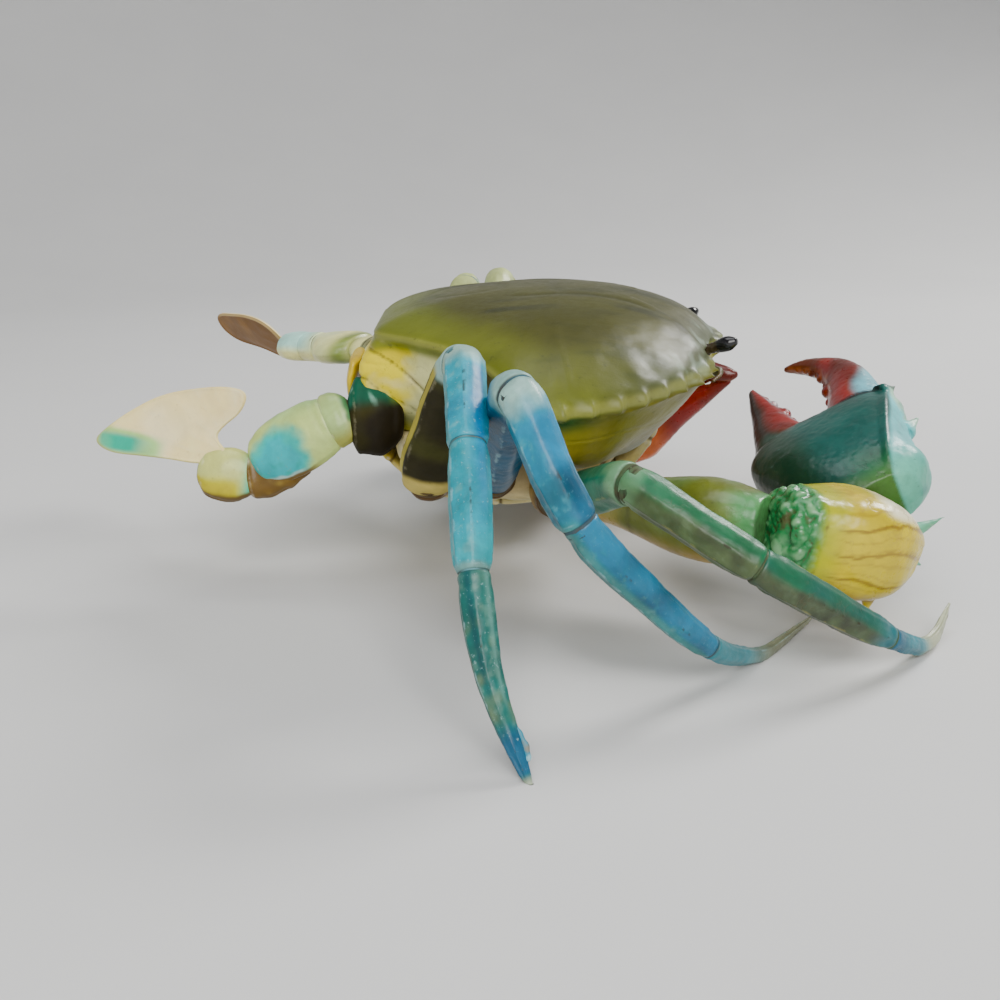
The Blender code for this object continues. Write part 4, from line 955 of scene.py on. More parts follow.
def paddle_paint(side, piece, t, angle, points):
    """Colours of a paddle leg's plates. Angle 0 is the upper edge, half a turn the lower."""
    shape = t.shape
    drift = 0.5 * cloud(points, 6.0, 21)
    fine = 0.5 * cloud(points, 1.8, 22)
    low = soft(turn_from(angle, math.pi) + 0.3 * drift, 1.25, 0.55)
    if side == "left":
        along = vec(-0.75, 0.62, 0.0)
        far = soft((points - vec(-44.0, 34.0, 53.0)) @ along + 4.0 * drift, -2.0, 9.0)
        near = bump((points - vec(-35.0, 27.0, 54.0)) @ along, 0.0, 3.0)
        return coats(paint(shape, (0.74, 0.72, 0.38)),
            ((0.56, 0.66, 0.42), soft(drift, -0.1, 0.5) * 0.6),
            ((0.42, 0.70, 0.66), far * soft(points[..., 2] + 2.0 * drift, 50.5, 54.0) * 0.9),
            ((0.14, 0.20, 0.04), near * 0.9))
    if piece == "coxa":
        # under marks the lower face, where a shadow is painted.
        under = soft(turn_from(angle, math.pi) + 0.3 * drift, 2.1, 1.7)
        return coats(paint(shape, (0.012, 0.085, 0.050)),
            ((0.10, 0.16, 0.04), soft(t + 0.5 * drift, 0.45, 0.1)),
            # Painted highlights: pale streaks on the upper face.
            ((0.26, 0.48, 0.38), soft(fine + 0.3 * drift, 0.10, 0.40) * soft(1.0 - low, 0.5, 0.9) * 0.8),
            # Painted shadow: near-black under the coxa, where its cavity lies in shade.
            ((0.010, 0.007, 0.002), under),
            ((0.030, 0.027, 0.005), under * soft(drift, 0.05, 0.4) * 0.8))
    if piece == "ischium":
        return coats(paint(shape, (0.38, 0.50, 0.22)),
            ((0.50, 0.54, 0.26), soft(drift, -0.1, 0.4)),
            ((0.05, 0.16, 0.07), soft(t + 0.2 * fine, 0.24, 0.05) * 0.9),
            ((0.28, 0.24, 0.05), low * 0.7))
    if piece == "merus":
        at = 1.0 - np.hypot((t - 0.70) / 0.42, (turn_from(angle, 4.35)) / 1.15)
        blue = soft(at + 0.30 * drift + 0.15 * fine, -0.12, 0.28)
        return coats(paint(shape, (0.48, 0.58, 0.24)),
            ((0.34, 0.52, 0.26), soft(drift, -0.1, 0.4) * 0.8),
            ((0.10, 0.44, 0.36), blue),
            ((0.015, 0.36, 0.40), soft(at + 0.35 * drift + 0.25 * fine, 0.16, 0.50) * 0.9),
            ((0.01, 0.30, 0.26), soft(fine + 0.4 * drift, 0.24, 0.42) * blue * 0.7),
            ((0.55, 0.66, 0.60), soft(turn_from(angle, math.pi) + 0.2 * fine, 0.62, 0.42)
             * soft(t, 0.42, 0.60) * 0.8),
            ((0.14, 0.085, 0.02), soft(turn_from(angle, math.pi) + 0.1 * fine, 0.42, 0.26)
             * soft(t, 0.25, 0.5)))
    if piece == "carpus":
        return coats(paint(shape, (0.13, 0.075, 0.018)),
            ((0.28, 0.20, 0.06), soft(fine + drift, 0.0, 0.5)),
            ((0.40, 0.44, 0.28), soft(turn_from(angle, 0.0), 1.3, 0.7) * 0.7))
    return coats(paint(shape, (0.56, 0.58, 0.24)),
        ((0.44, 0.60, 0.34), soft(drift, -0.1, 0.4)),
        ((0.10, 0.50, 0.34), bump(t + 0.10 * drift, 0.06, 0.12) * 0.95),
        ((0.44, 0.38, 0.015), soft(turn_from(angle, math.pi) + 0.3 * drift, 1.55, 0.95)
         * soft(t, 0.15, 0.40)),
        ((0.11, 0.065, 0.008), soft(turn_from(angle, math.pi) + 0.2 * drift, 0.75, 0.45)))


# The near paddle's plates overlap: start, end, and the widths across and through each
NEAR_PADDLE = {
    "coxa": ((-19.5, -17.0, 45.2), (-33.0, -19.3, 45.4),
             ((0.0, 14.0), (0.45, 20.5), (0.8, 19.0), (1.0, 13.5)), ((0.0, 10.0), (0.5, 11.5), (1.0, 9.0))),
    "ischium": ((-31.8, -19.3, 46.4), (-38.8, -19.3, 42.9), ((0.0, 10.5), (0.5, 14.0), (1.0, 14.4)),
                ((0.0, 7.0), (0.5, 7.8), (1.0, 7.6))),
    "merus": ((-36.6, -19.3, 44.2), (-57.2, -19.0, 32.6),
              ((0.0, 13.6), (0.2, 15.6), (0.5, 16.6), (0.8, 14.4), (1.0, 10.0)),
              ((0.0, 7.4), (0.3, 8.4), (0.6, 8.4), (0.85, 7.0), (1.0, 5.0))),
    "carpus": ((-43.0, -19.6, 31.8), (-59.2, -19.2, 29.4),
               ((0.0, 3.2), (0.35, 8.5), (0.7, 11.4), (1.0, 11.0)), ((0.0, 3.0), (0.5, 6.4), (1.0, 5.6))),
    "propodus": ((-56.6, -19.1, 29.4), (-71.6, -18.6, 31.0),
                 ((0.0, 8.6), (0.25, 12.4), (0.55, 13.6), (0.82, 11.6), (1.0, 6.2)),
                 ((0.0, 4.6), (0.5, 6.8), (1.0, 3.2))),
}


def paddle_plate(side, leg, index, piece):
    """One plate of a paddle leg. The near leg's lap over each other, the far one's meet in joint skin."""
    lapped = side == "right"
    joints = [vec(*joint) for joint in leg["joints"]]
    headings = [unit(after - here) for here, after in zip(joints[:-1], joints[1:])]
    if lapped:
        first, last, wide, deep = NEAR_PADDLE[piece]
        first, last = vec(*first), vec(*last)
    else:
        first = joints[index] + unit(headings[max(index - 1, 0)] + headings[index]) * GAP / 2
        last = joints[index + 1] - unit(headings[index] + headings[min(index + 1, 4)]) * GAP / 2
        wide, deep = PADDLE_PIECES[piece]
    line, length = straight_line(first, last)
    seed = 60 + index + (0 if lapped else 7)

    def relief(t, angle, points):
        near, far = t * length, (1.0 - t) * length
        body = soft(t, 0.05, 0.2) * soft(1.0 - t, 0.05, 0.2)
        rise = 0.30 * cloud(points, 5.0, seed) * body + 0.12 * rough_cloud(points, 1.6, seed)
        uneven = 0.5 + 0.5 * cloud(points, 4.0, seed + 2)
        for centre in (0.0, math.pi):
            rise += (0.30 * bump(turn_from(angle, centre), 0.0, 0.10)
                     - 0.20 * bump(turn_from(angle, centre), 0.22, 0.10)) * body * uneven
        if piece == "merus":
            rise += 0.12 * bump(turn_from(angle, 4.1 + 0.25 * np.sin(3.0 * t)), 0.0, 0.12) * body
        if lapped:
            rise += 0.16 * bump(far, 1.6, 0.9) - 0.14 * bump(near, 2.8, 0.9)
        return rise

    grid, t, angle = tube(line, 0.0, length, wide, deep, leg["across"], relief, sides=72, step=0.35,
                          squareness=2.1, edge=2.4 if lapped else 0.8, pinch=0.42 if lapped else 0.02)
    near, far = t * length, (1.0 - t) * length
    edge_line = sum(bump(turn_from(angle, centre), 0.0, 0.12) for centre in (0.0, math.pi))
    strength = 1.0 if lapped else 0.15
    masks = {"paint": paddle_paint(side, piece, t, angle, grid),
             "crest": 0.5 * edge_line + 0.5 * strength * bump(far, 1.3, 0.8),
             "crease": strength * (0.8 * soft(-far, -0.4, 0.1) + 0.8 * soft(-near, -0.5, 0.1)
                                   + 0.25 * bump(near, 2.7, 0.6)),
             "aged": soft(cloud(grid, 10.0, seed), -0.2, 0.5)}
    name = f"paddle_{side}_{piece}"
    finish = FINISHES["leg_brown" if piece == "coxa" and lapped else "paddle"]
    skin(f"{name}_plate", grid, finish, (name,), masks)
    if index < 4 and not lapped:
        across_joint = np.array([last - headings[index] * SKIN_REACH, last,
                                 last + headings[index + 1] * SKIN_REACH])
        marks = [0.0, SKIN_REACH, 2.0 * SKIN_REACH]
        joint_skin(f"{name}_joint_skin", (across_joint, np.array(marks), marks), SKIN_REACH, wide[-1][1],
                   deep[-1][1], leg["across"], seed, (0.40, 0.44, 0.26))


def smooth_loop(corners, steps):
    """Closed curve of quadratic arcs between the middles of the corners' sides."""
    points = []
    count = len(corners)
    for index in range(count):
        here = np.array(corners[index])
        before = (np.array(corners[index - 1]) + here) / 2.0
        after = (here + np.array(corners[(index + 1) % count])) / 2.0
        for step in range(steps):
            t = step / steps
            points.append((1 - t) ** 2 * before + 2 * t * (1 - t) * here + t * t * after)
    return np.array(points)


def even_loop(points, count):
    """The same closed curve with evenly spaced points."""
    closed = np.vstack((points, points[:1]))
    run = lengths_along(closed)
    return on_line(closed, run, np.linspace(0.0, run[-1], count, endpoint=False))


def blade(side, leg):
    """The thin swimming blade with its fan of ribs and thickened rim."""
    joint = vec(*leg["joints"][-1])
    along = unit(leg["blade_along"])
    across = unit(leg["blade_across"] - along * np.dot(leg["blade_across"], along))
    through = np.cross(along, across)
    outline = even_loop(smooth_loop(leg["blade_corners"], 12), 220)
    middle = outline.mean(axis=0)
    scales = np.sin(np.linspace(0.02, 1.0, 44) * math.pi / 2.0)
    scales = np.concatenate((scales, scales[::-1]))
    face = np.concatenate((np.ones(44), -np.ones(44)))
    flat = middle + (outline[None] - middle) * scales[:, None, None]
    u, v = flat[..., 0], flat[..., 1]
    reach = scales[:, None] * np.ones(len(outline))
    place = (joint + along * (u * BLADE_LENGTH + BLADE_ROOT)[..., None]
             + across * (v * BLADE_LENGTH)[..., None])
    fan = np.arctan2(v - 0.05, u + 0.35) if side == "right" else np.arctan2(v + 0.1, u + 0.45)
    ribs = np.abs(np.sin(fan * 15.0 + 0.5 * cloud(place, 6.0, 3))) ** 3
    sheet = BLADE_THICKNESS * (0.20 + 0.30 * (1.0 - reach ** 2) + 0.16 * bump(reach, 0.955, 0.035)
                               + 0.05 * ribs * soft(reach, 0.15, 0.4) * soft(1.0 - reach, 0.03, 0.12))
    sheet *= np.sqrt(np.clip((1.0 - reach) / 0.012, 0.06, 1.0))
    wave = 0.55 * cloud(place, 13.0, 5) * soft(reach, 0.2, 0.9) + 0.25 * np.sin(u * 9.0) * (v - middle[1])
    grid = place + through * (wave + face[:, None] * sheet)[..., None]
    drift = 0.5 * cloud(place, 6.0, 31)
    if side == "right":
        tip = (soft(u + 0.10 * drift, 0.22, 0.50) * soft(np.abs(v - 0.05 + 0.02 * drift), 0.115, 0.03)
               * soft(u, 0.79, 0.70))
        colour = coats(paint(reach.shape, (0.90, 0.76, 0.44)),
            ((0.94, 0.84, 0.58), soft(drift, -0.2, 0.4)),
            ((0.04, 0.40, 0.28), tip),
            ((0.34, 0.62, 0.20), bump(tip, 0.45, 0.25) * 0.6),
            ((0.46, 0.56, 0.22), soft(u + 0.10 * drift, 0.58, 0.70) * (1.0 - 0.8 * tip) * 0.9),
            ((0.46, 0.48, 0.24), bump(reach, 0.98, 0.03) * soft(-v, -0.16, -0.02) * 0.6),
            ((0.62, 0.48, 0.20), bump(reach, 0.985, 0.015) * 0.35))
    else:
        under = (face[:, None] * reach > 0)[..., None]
        colour = coats(paint(reach.shape, (0.15, 0.072, 0.014)),
            ((0.21, 0.105, 0.022), soft(drift, -0.1, 0.5)),
            ((0.52, 0.40, 0.22), bump(reach, 0.975, 0.035) * soft(v, -0.12, 0.0) * 0.9))
        pale = brush(paint(reach.shape, (0.78, 0.68, 0.44)), OCHRE, soft(drift, 0.1, 0.5) * 0.4)
        colour = np.where(under, pale, colour)
    name = f"paddle_{side}_dactylus"
    skin(f"{name}_blade", grid, FINISHES["blade"], (name,),
         {"paint": colour, "crest": (0.5 if side == "right" else 0.1) * ribs * soft(reach, 0.15, 0.4),
          "crease": 0.15 * bump(reach, 0.925, 0.02) + 0.20 * (1.0 - ribs) ** 3 * soft(reach, 0.3, 0.6),
          "aged": 0.3 * reach})


def paddle_leg(side, leg):
    """The last leg, turned up behind the body and ending in a blade."""
    for index, piece in enumerate(PADDLE_PARTS):
        paddle_plate(side, leg, index, piece)
    blade(side, leg)


# ---------------------------------------------------------------- claws

RIGHT_CLAW = {
    "arm": [(28.5, -23.2, 25), (38, -30.5, 25), (47, -37, 25), (56, -43.5, 25.2), (65.5, -50, 25.6)],
    "carpus": (vec(66.5, -50.5, 26.0), vec(101.0, -45.5, 18.0)),
    "wrist": vec(98, -36, 27),
    "axis": vec(-0.14, 0.96, 0.22),
    "width_axis": vec(0.90, 0.0, 0.44),
    "opening": 1.0,
    "size": 1.0,
}
LEFT_CLAW = {
    "arm": [(28.5, 23.2, 25), (28.5, 32, 22.5), (25.5, 43, 20.5), (19.5, 53.5, 20.2), (13, 62.5, 20.5)],
    "carpus": (vec(12.5, 63.5, 20.5), vec(20, 89, 18)),
    "wrist": vec(29.5, 75.5, 20.5),
    "axis": vec(0.82, -0.44, 0.35),
    "width_axis": vec(-0.05, 0.12, 0.99),
    "opening": 0.12,
    "size": 0.80,
}
# Widths along the arm, across and through it
CLAW_ARM = (((0.0, 11.0), (0.2, 12.0), (0.45, 17.0), (0.85, 19.0), (1.0, 15.0)),
            ((0.0, 11.0), (0.2, 12.0), (0.45, 16.0), (0.85, 18.0), (1.0, 14.0)))
# Along the carpus, height, depth
CARPUS_STATIONS = ((0.0, 13.0, 12.0), (0.12, 19.0, 18.0), (0.35, 22.5, 24.0),
                   (0.6, 25.0, 25.0), (0.85, 20.5, 20.5), (1.0, 12.0, 12.0))
# Knobs of the wrist's collar: share of its length, turn round it, size
COLLAR_KNOBS = ((0.10, 0.3, 2.6), (0.09, 1.2, 2.4), (0.11, 2.2, 2.7), (0.10, 3.2, 2.3), (0.10, 4.4, 2.5),
                (0.09, 5.4, 2.4))
PALM_LENGTH = 38.0
FINGER_LENGTH = 37.0
# Along the palm, offset to the hinged finger's side, width, thickness
PALM_STATIONS = ((0.0, 0.2, 18.0, 14.0), (4.0, -0.8, 28.5, 19.0), (12.0, -2.8, 34.5, 23.0),
                 (21.0, -3.0, 39.0, 23.5), (28.0, -1.9, 42.4, 21.0), (34.0, -0.6, 43.0, 17.0),
                 (38.0, 0.6, 40.0, 13.5))
# Along a finger, offset, width, thickness
FIXED_FINGER = ((30.0, -12.5, 18.5, 15.0), (38.0, -10.8, 17.5, 13.0), (44.0, -10.2, 14.5, 11.0),
                (50.0, -10.0, 11.5, 9.0), (56.0, -9.6, 9.0, 7.5), (64.0, -9.0, 5.6, 5.4),
                (72.5, -8.0, 1.8, 1.8))
HINGED_FINGER = ((0.0, 10.2, 18.0, 13.5), (6.0, 12.0, 16.0, 12.0), (12.0, 13.8, 13.5, 10.5),
                 (18.0, 14.8, 11.5, 9.5), (25.0, 14.4, 9.4, 8.0), (31.0, 11.6, 7.4, 6.0),
                 (35.0, 8.0, 5.2, 4.2), (37.5, 4.2, 1.8, 1.8))
# Spines of the palm: along it, across it, through it, and how far each leans
PALM_SPINES = ((36.5, 18.6, -4.0, 1.5), (25.0, 18.2, 0.5, 1.5))
# Teeth along the biting edges: share of the finger's length, and size
BITING_TEETH = ((0.30, 1.7), (0.37, 1.2), (0.44, 2.3), (0.52, 1.5), (0.585, 1.1), (0.65, 1.6),
                (0.72, 1.0), (0.78, 1.2), (0.84, 0.8), (0.90, 0.7))


def claw_axes(claw):
    axis = unit(claw["axis"])
    width_axis = unit(claw["width_axis"] - axis * np.dot(claw["width_axis"], axis))
    return axis, width_axis, np.cross(axis, width_axis)


def closed_loft(centres, wide_axis, deep_axis, half_wide, half_deep, squareness, sides=56):
    """A closed form of superellipse sections, as points and faces. Its axes may turn along it."""
    across, through = superellipse(ring_angles(sides), squareness)
    grid = ringed(centres, wide_axis, deep_axis, across * half_wide[:, None], through * half_deep[:, None])
    points = np.vstack((grid.reshape(-1, 3), centres[:1], centres[-1:]))
    return points, outward(points - points.mean(axis=0), grid_faces(len(grid), sides))


def knob(centre, along, up, length, width, height):
    """A rounded tooth or wart, as a closed form."""
    polar = np.linspace(0.12, math.pi - 0.12, 12)
    side = np.cross(along, up)
    centres = centre + along * (-np.cos(polar) * length)[:, None]
    return closed_loft(centres, side, up, np.sin(polar) * width, np.sin(polar) * height, 2.0, 16)


def thorn(base, tip, radius):
    """A pointed spine with a flared root."""
    axis = unit(tip - base)
    side = unit(np.cross(axis, vec(0.31, 0.52, 0.79)))
    t = np.linspace(-0.35, 1.0, 16)
    length = np.linalg.norm(tip - base)
    rounded = (radius * np.clip(1.0 - np.clip(t, 0.0, 1.0) ** 0.85, 0.0, 1.0) + 0.16
               + 0.5 * radius * bump(t, -0.3, 0.2))
    centres = base + axis * (t * length)[:, None]
    return closed_loft(centres, side, np.cross(axis, side), rounded, rounded, 2.0, 14)


def fused(forms, grain, smoothings):
    """Joins overlapping closed forms into one skin: its points, faces and normals."""
    points, faces = [], []
    count = 0
    for form_points, form_faces in forms:
        points.append(form_points)
        faces += [[index + count for index in face] for face in form_faces]
        count += len(form_points)
    mesh = bpy.data.meshes.new("forms")
    mesh.from_pydata((np.vstack(points) * MM).tolist(), [], faces)
    holder = bpy.data.objects.new("forms", mesh)
    bpy.context.scene.collection.objects.link(holder)
    remesh = holder.modifiers.new("one_skin", "REMESH")
    remesh.mode = "VOXEL"
    remesh.voxel_size = grain * MM
    graph = bpy.context.evaluated_depsgraph_get()
    graph.update()
    made = bpy.data.meshes.new_from_object(holder.evaluated_get(graph))
    bpy.data.objects.remove(holder)
    bpy.data.meshes.remove(mesh)
    place = np.empty(len(made.vertices) * 3)
    made.vertices.foreach_get("co", place)
    place = place.reshape(-1, 3) / MM
    edges = np.empty(len(made.edges) * 2, dtype=np.int64)
    made.edges.foreach_get("vertices", edges)
    edges = edges.reshape(-1, 2)
    degree = np.bincount(edges.ravel(), minlength=len(place))[:, None]
    for step in range(smoothings * 2):
        total = np.zeros_like(place)
        np.add.at(total, edges[:, 0], place[edges[:, 1]])
        np.add.at(total, edges[:, 1], place[edges[:, 0]])
        place += (0.5, -0.47)[step % 2] * (total / degree - place)
    made.vertices.foreach_set("co", (place * MM).ravel())
    made.update()
    normals = np.empty(len(place) * 3)
    made.vertices.foreach_get("normal", normals)
    faces = [list(face.vertices) for face in made.polygons]
    bpy.data.meshes.remove(made)
    return place, faces, normals.reshape(-1, 3)


def finger_line(claw, stations, start, count):
    """Centres, half widths and half thicknesses along a finger."""
    axis, width_axis = claw_axes(claw)[:2]
    run = np.linspace(stations[0][0], stations[-1][0], count)
    offset, width, thick = columns(run, stations)
    past = np.clip((start + run - PALM_LENGTH) / FINGER_LENGTH, 0.0, 1.0)
    offset = offset * blend(1.0, claw["opening"], past)
    size = claw["size"]
    centres = claw["wrist"] + (axis * (start + run)[:, None] + width_axis * offset[:, None]) * size
    return centres, width / 2 * size, thick / 2 * size


def finger_forms(claw, stations, start, teeth_side):
    """One finger and its row of biting teeth, as closed forms."""
    axis, width_axis, through = claw_axes(claw)
    centres, half_wide, half_thick = finger_line(claw, stations, start, 48)
    forms = [closed_loft(centres, width_axis, through, half_wide, half_thick, 2.1)]
    for share, size in BITING_TEETH:
        if start == 0.0:
            share = blend(0.22, 1.0, share)
        at = share * (len(centres) - 1)
        low = int(at)
        high = min(low + 1, len(centres) - 1)
        centre = blend(centres[low], centres[high], at - low)
        edge = centre + width_axis * teeth_side * (blend(half_wide[low], half_wide[high], at - low) * 0.88)
        size *= claw["size"]
        forms.append(knob(edge, axis, width_axis * teeth_side, size * 1.05, size * 0.85, size * 1.05))
    return forms


def claw_place(claw, points):
    """Points in the claw's own measures: along it, across it and through it."""
    axis, width_axis, through = claw_axes(claw)
    shift = (points - claw["wrist"]) / claw["size"]
    return shift @ axis, shift @ width_axis, shift @ through


def claw_relief(points, normals, seed, warts):
    """Shell surface of a claw: dents, granules and fine grain."""
    grains = np.clip(cloud(points, 1.9, seed), 0.15, 1.0) - 0.15
    rise = 0.30 * cloud(points, 8.0, seed + 1) + warts * grains + 0.06 * cloud(points, 0.9, seed + 2)
    return points + normals * rise[:, None], grains


def claw_palm(side, claw):
    """Palm and fixed finger in one piece, with the two spines at its far edge."""
    axis, width_axis, through = claw_axes(claw)
    size = claw["size"]
    places = np.linspace(0.0, PALM_LENGTH, 44)
    offset, width, thick = columns(places, PALM_STATIONS)
    centres = claw["wrist"] + (axis * places[:, None] + width_axis * offset[:, None]) * size
    forms = [closed_loft(centres, width_axis, through, width / 2 * size, thick / 2 * size, 2.8)]
    forms += finger_forms(claw, FIXED_FINGER, 0.0, 1.0)
    for place, across, shift, lean in PALM_SPINES:
        base = claw["wrist"] + (axis * place + width_axis * across + through * shift) * size
        forms.append(thorn(base, base + (axis * lean + width_axis * 3.8) * size, 2.1 * size))
    points, faces, normals = fused(forms, 0.48, 3)
    place, across, _ = claw_place(claw, points)
    facing = -(normals @ through)
    shoulder = across - (20.0 - (PALM_LENGTH - place) * 0.42)
    ridge = (bump(shoulder, -0.5, 1.2) * soft(facing, 0.0, 0.4) * soft(place, 1.0, 6.0)
             * soft(place, 39.0, 36.0))
    shelf = 0.7 * bump(shoulder, 4.0, 3.0) * soft(facing, 0.0, 0.4) * soft(place, 1.0, 6.0)
    hollow = 0.7 * bump(across, -2.0, 7.0) * soft(facing, 0.3, 0.8) * bump(place, 22.0, 12.0)
    points = points + normals * (0.9 * ridge - shelf - hollow)[:, None]
    wear = 0.5 * cloud(points, 7.0, 41)
    points, grains = claw_relief(points, normals, 42, 0.10)
    margin = soft(shoulder + 0.8 * wear, -0.4, 1.2)
    red = soft(place + 5.0 * wear, 37.0, 43.0)
    inside = soft(normals @ width_axis + 0.4 * wear, -0.35, 0.25)
    colour = coats(paint(place.shape, (0.004, 0.030, 0.022)),
        ((0.006, 0.050, 0.040), soft(wear, -0.4, 0.3)),
        ((0.008, 0.085, 0.072), soft(facing + 0.5 * wear, 0.1, 0.9) * 0.6),
        ((0.012, 0.030, 0.012), soft(-across + 3.0 * wear, 4.0, 14.0) * 0.8),
        ((0.012, 0.085, 0.018), soft(place + 3.0 * wear, 12.0, 2.0) * soft(across, -8.0, 4.0) * 0.9),
        ((0.07, 0.13, 0.012), soft(place + 2.0 * wear, 5.0, 0.0) * 0.5),
        ((0.22, 0.58, 0.60), margin * 0.92),
        ((0.14, 0.38, 0.24), margin * soft(place + 3.0 * wear, 12.0, 1.0) * 0.7),
        # Painted highlight: a pale edge along the outer margin, where the light catches it.
        ((0.55, 0.66, 0.42), margin * soft(across + 2.0 * wear, 17.0, 20.0) * 0.6),
        ((0.02, 0.18, 0.16), margin * soft(0.6 * wear + 0.5 * cloud(points, 2.6, 47), 0.15, 0.5) * 0.6),
        ((0.020, 0.012, 0.006), red),
        (RED, red * inside),
        (DARK_RED, red * inside * soft(wear, 0.0, 0.4)))
    if side == "left":
        colour = coats(colour,
            (ORANGE, soft(place + 4.0 * wear, 6.0, 18.0) * soft(place, 50.0, 38.0)),
            (RED, soft(place + 4.0 * wear, 34.0, 48.0) * 0.9),
            (DARK_RED, soft(place + 4.0 * wear, 56.0, 66.0) * 0.8))
    bitten = soft(place, 42.0, 46.0) * soft(normals @ width_axis, 0.3, 0.9)
    make_piece(f"claw_{side}_palm_shell", points, faces,
               FINISHES["claw_dark" if side == "right" else "claw_red"],
               (f"claw_{side}_palm",),
               {"paint": colour, "crest": 0.55 * grains + 0.6 * bitten + 0.35 * soft(wear, 0.3, 0.5),
                "crease": (0.8 * bump(place, 37.0, 1.6) * soft(across, 3.0, 8.0)
                           + 0.25 * soft(place, 2.0, 0.0)),
                "aged": soft(wear, -0.2, 0.3)})


def claw_finger(side, claw):
    """The hinged finger."""
    axis, width_axis = claw_axes(claw)[:2]
    forms = finger_forms(claw, HINGED_FINGER, PALM_LENGTH + GAP, -1.0)
    centres, half_wide, half_thick = finger_line(claw, HINGED_FINGER, PALM_LENGTH + GAP, 48)
    forms.append(knob(centres[1] - axis * 1.2, axis, width_axis, 3.6, half_thick[1] * 0.8,
                      half_wide[1] * 0.86))
    points, faces, normals = fused(forms, 0.42, 3)
    place, _, height = claw_place(claw, points)
    wear = 0.5 * cloud(points, 5.0, 51)
    points, grains = claw_relief(points, normals, 52, 0.08)
    past = place - PALM_LENGTH
    colour = brush(paint(place.shape, RED), DARK_RED, soft(wear + past / 60.0, 0.0, 0.6))
    if side == "right":
        colour = coats(colour,
            ((0.22, 0.48, 0.55), soft(-past - 4.0 * wear + 10.0 * (normals @ width_axis), -12.0, -4.0)
             * soft(normals @ width_axis + 0.5 * wear, -0.1, 0.4)),
            ((0.10, 0.03, 0.015), soft(past, 24.0, 34.0) * 0.7))
    else:
        colour = brush(colour, ORANGE, soft(-past - 4.0 * wear, -14.0, -2.0) * 0.9)
    bitten = soft(past, 6.0, 10.0) * soft(-(normals @ width_axis), 0.3, 0.9)
    groove_at = np.clip(3.2 - past * 0.06, 1.0, 3.2)  # the long groove down each side
    make_piece(f"claw_{side}_finger_shell", points, faces, FINISHES["claw_red"],
               (f"claw_{side}_finger",),
               {"paint": colour, "crest": 0.5 * grains + 0.6 * bitten,
                "crease": 0.85 * soft(past, 2.5, 0.0) + 0.35 * bump(np.abs(height), groove_at, 0.5),
                "aged": soft(wear, -0.2, 0.3)})


def veined(points, run):
    """Long wandering veins that run from the collar towards the palm."""
    level = (points[..., 2] + 0.22 * points[..., 0] + 2.8 * cloud(points * vec(0.5, 1.0, 1.0), 8.0, 67)
             + 0.5 * cloud(points, 2.4, 68))
    wander = bump(np.sin(level * 0.95), 1.0, 0.075) + 0.4 * bump(np.sin(level * 2.1 + 1.0), 1.0, 0.14)
    return np.clip(wander, 0.0, 1.0) * soft(rough_cloud(points, 8.0, 69) + 0.02 * run, -0.25, 0.30)


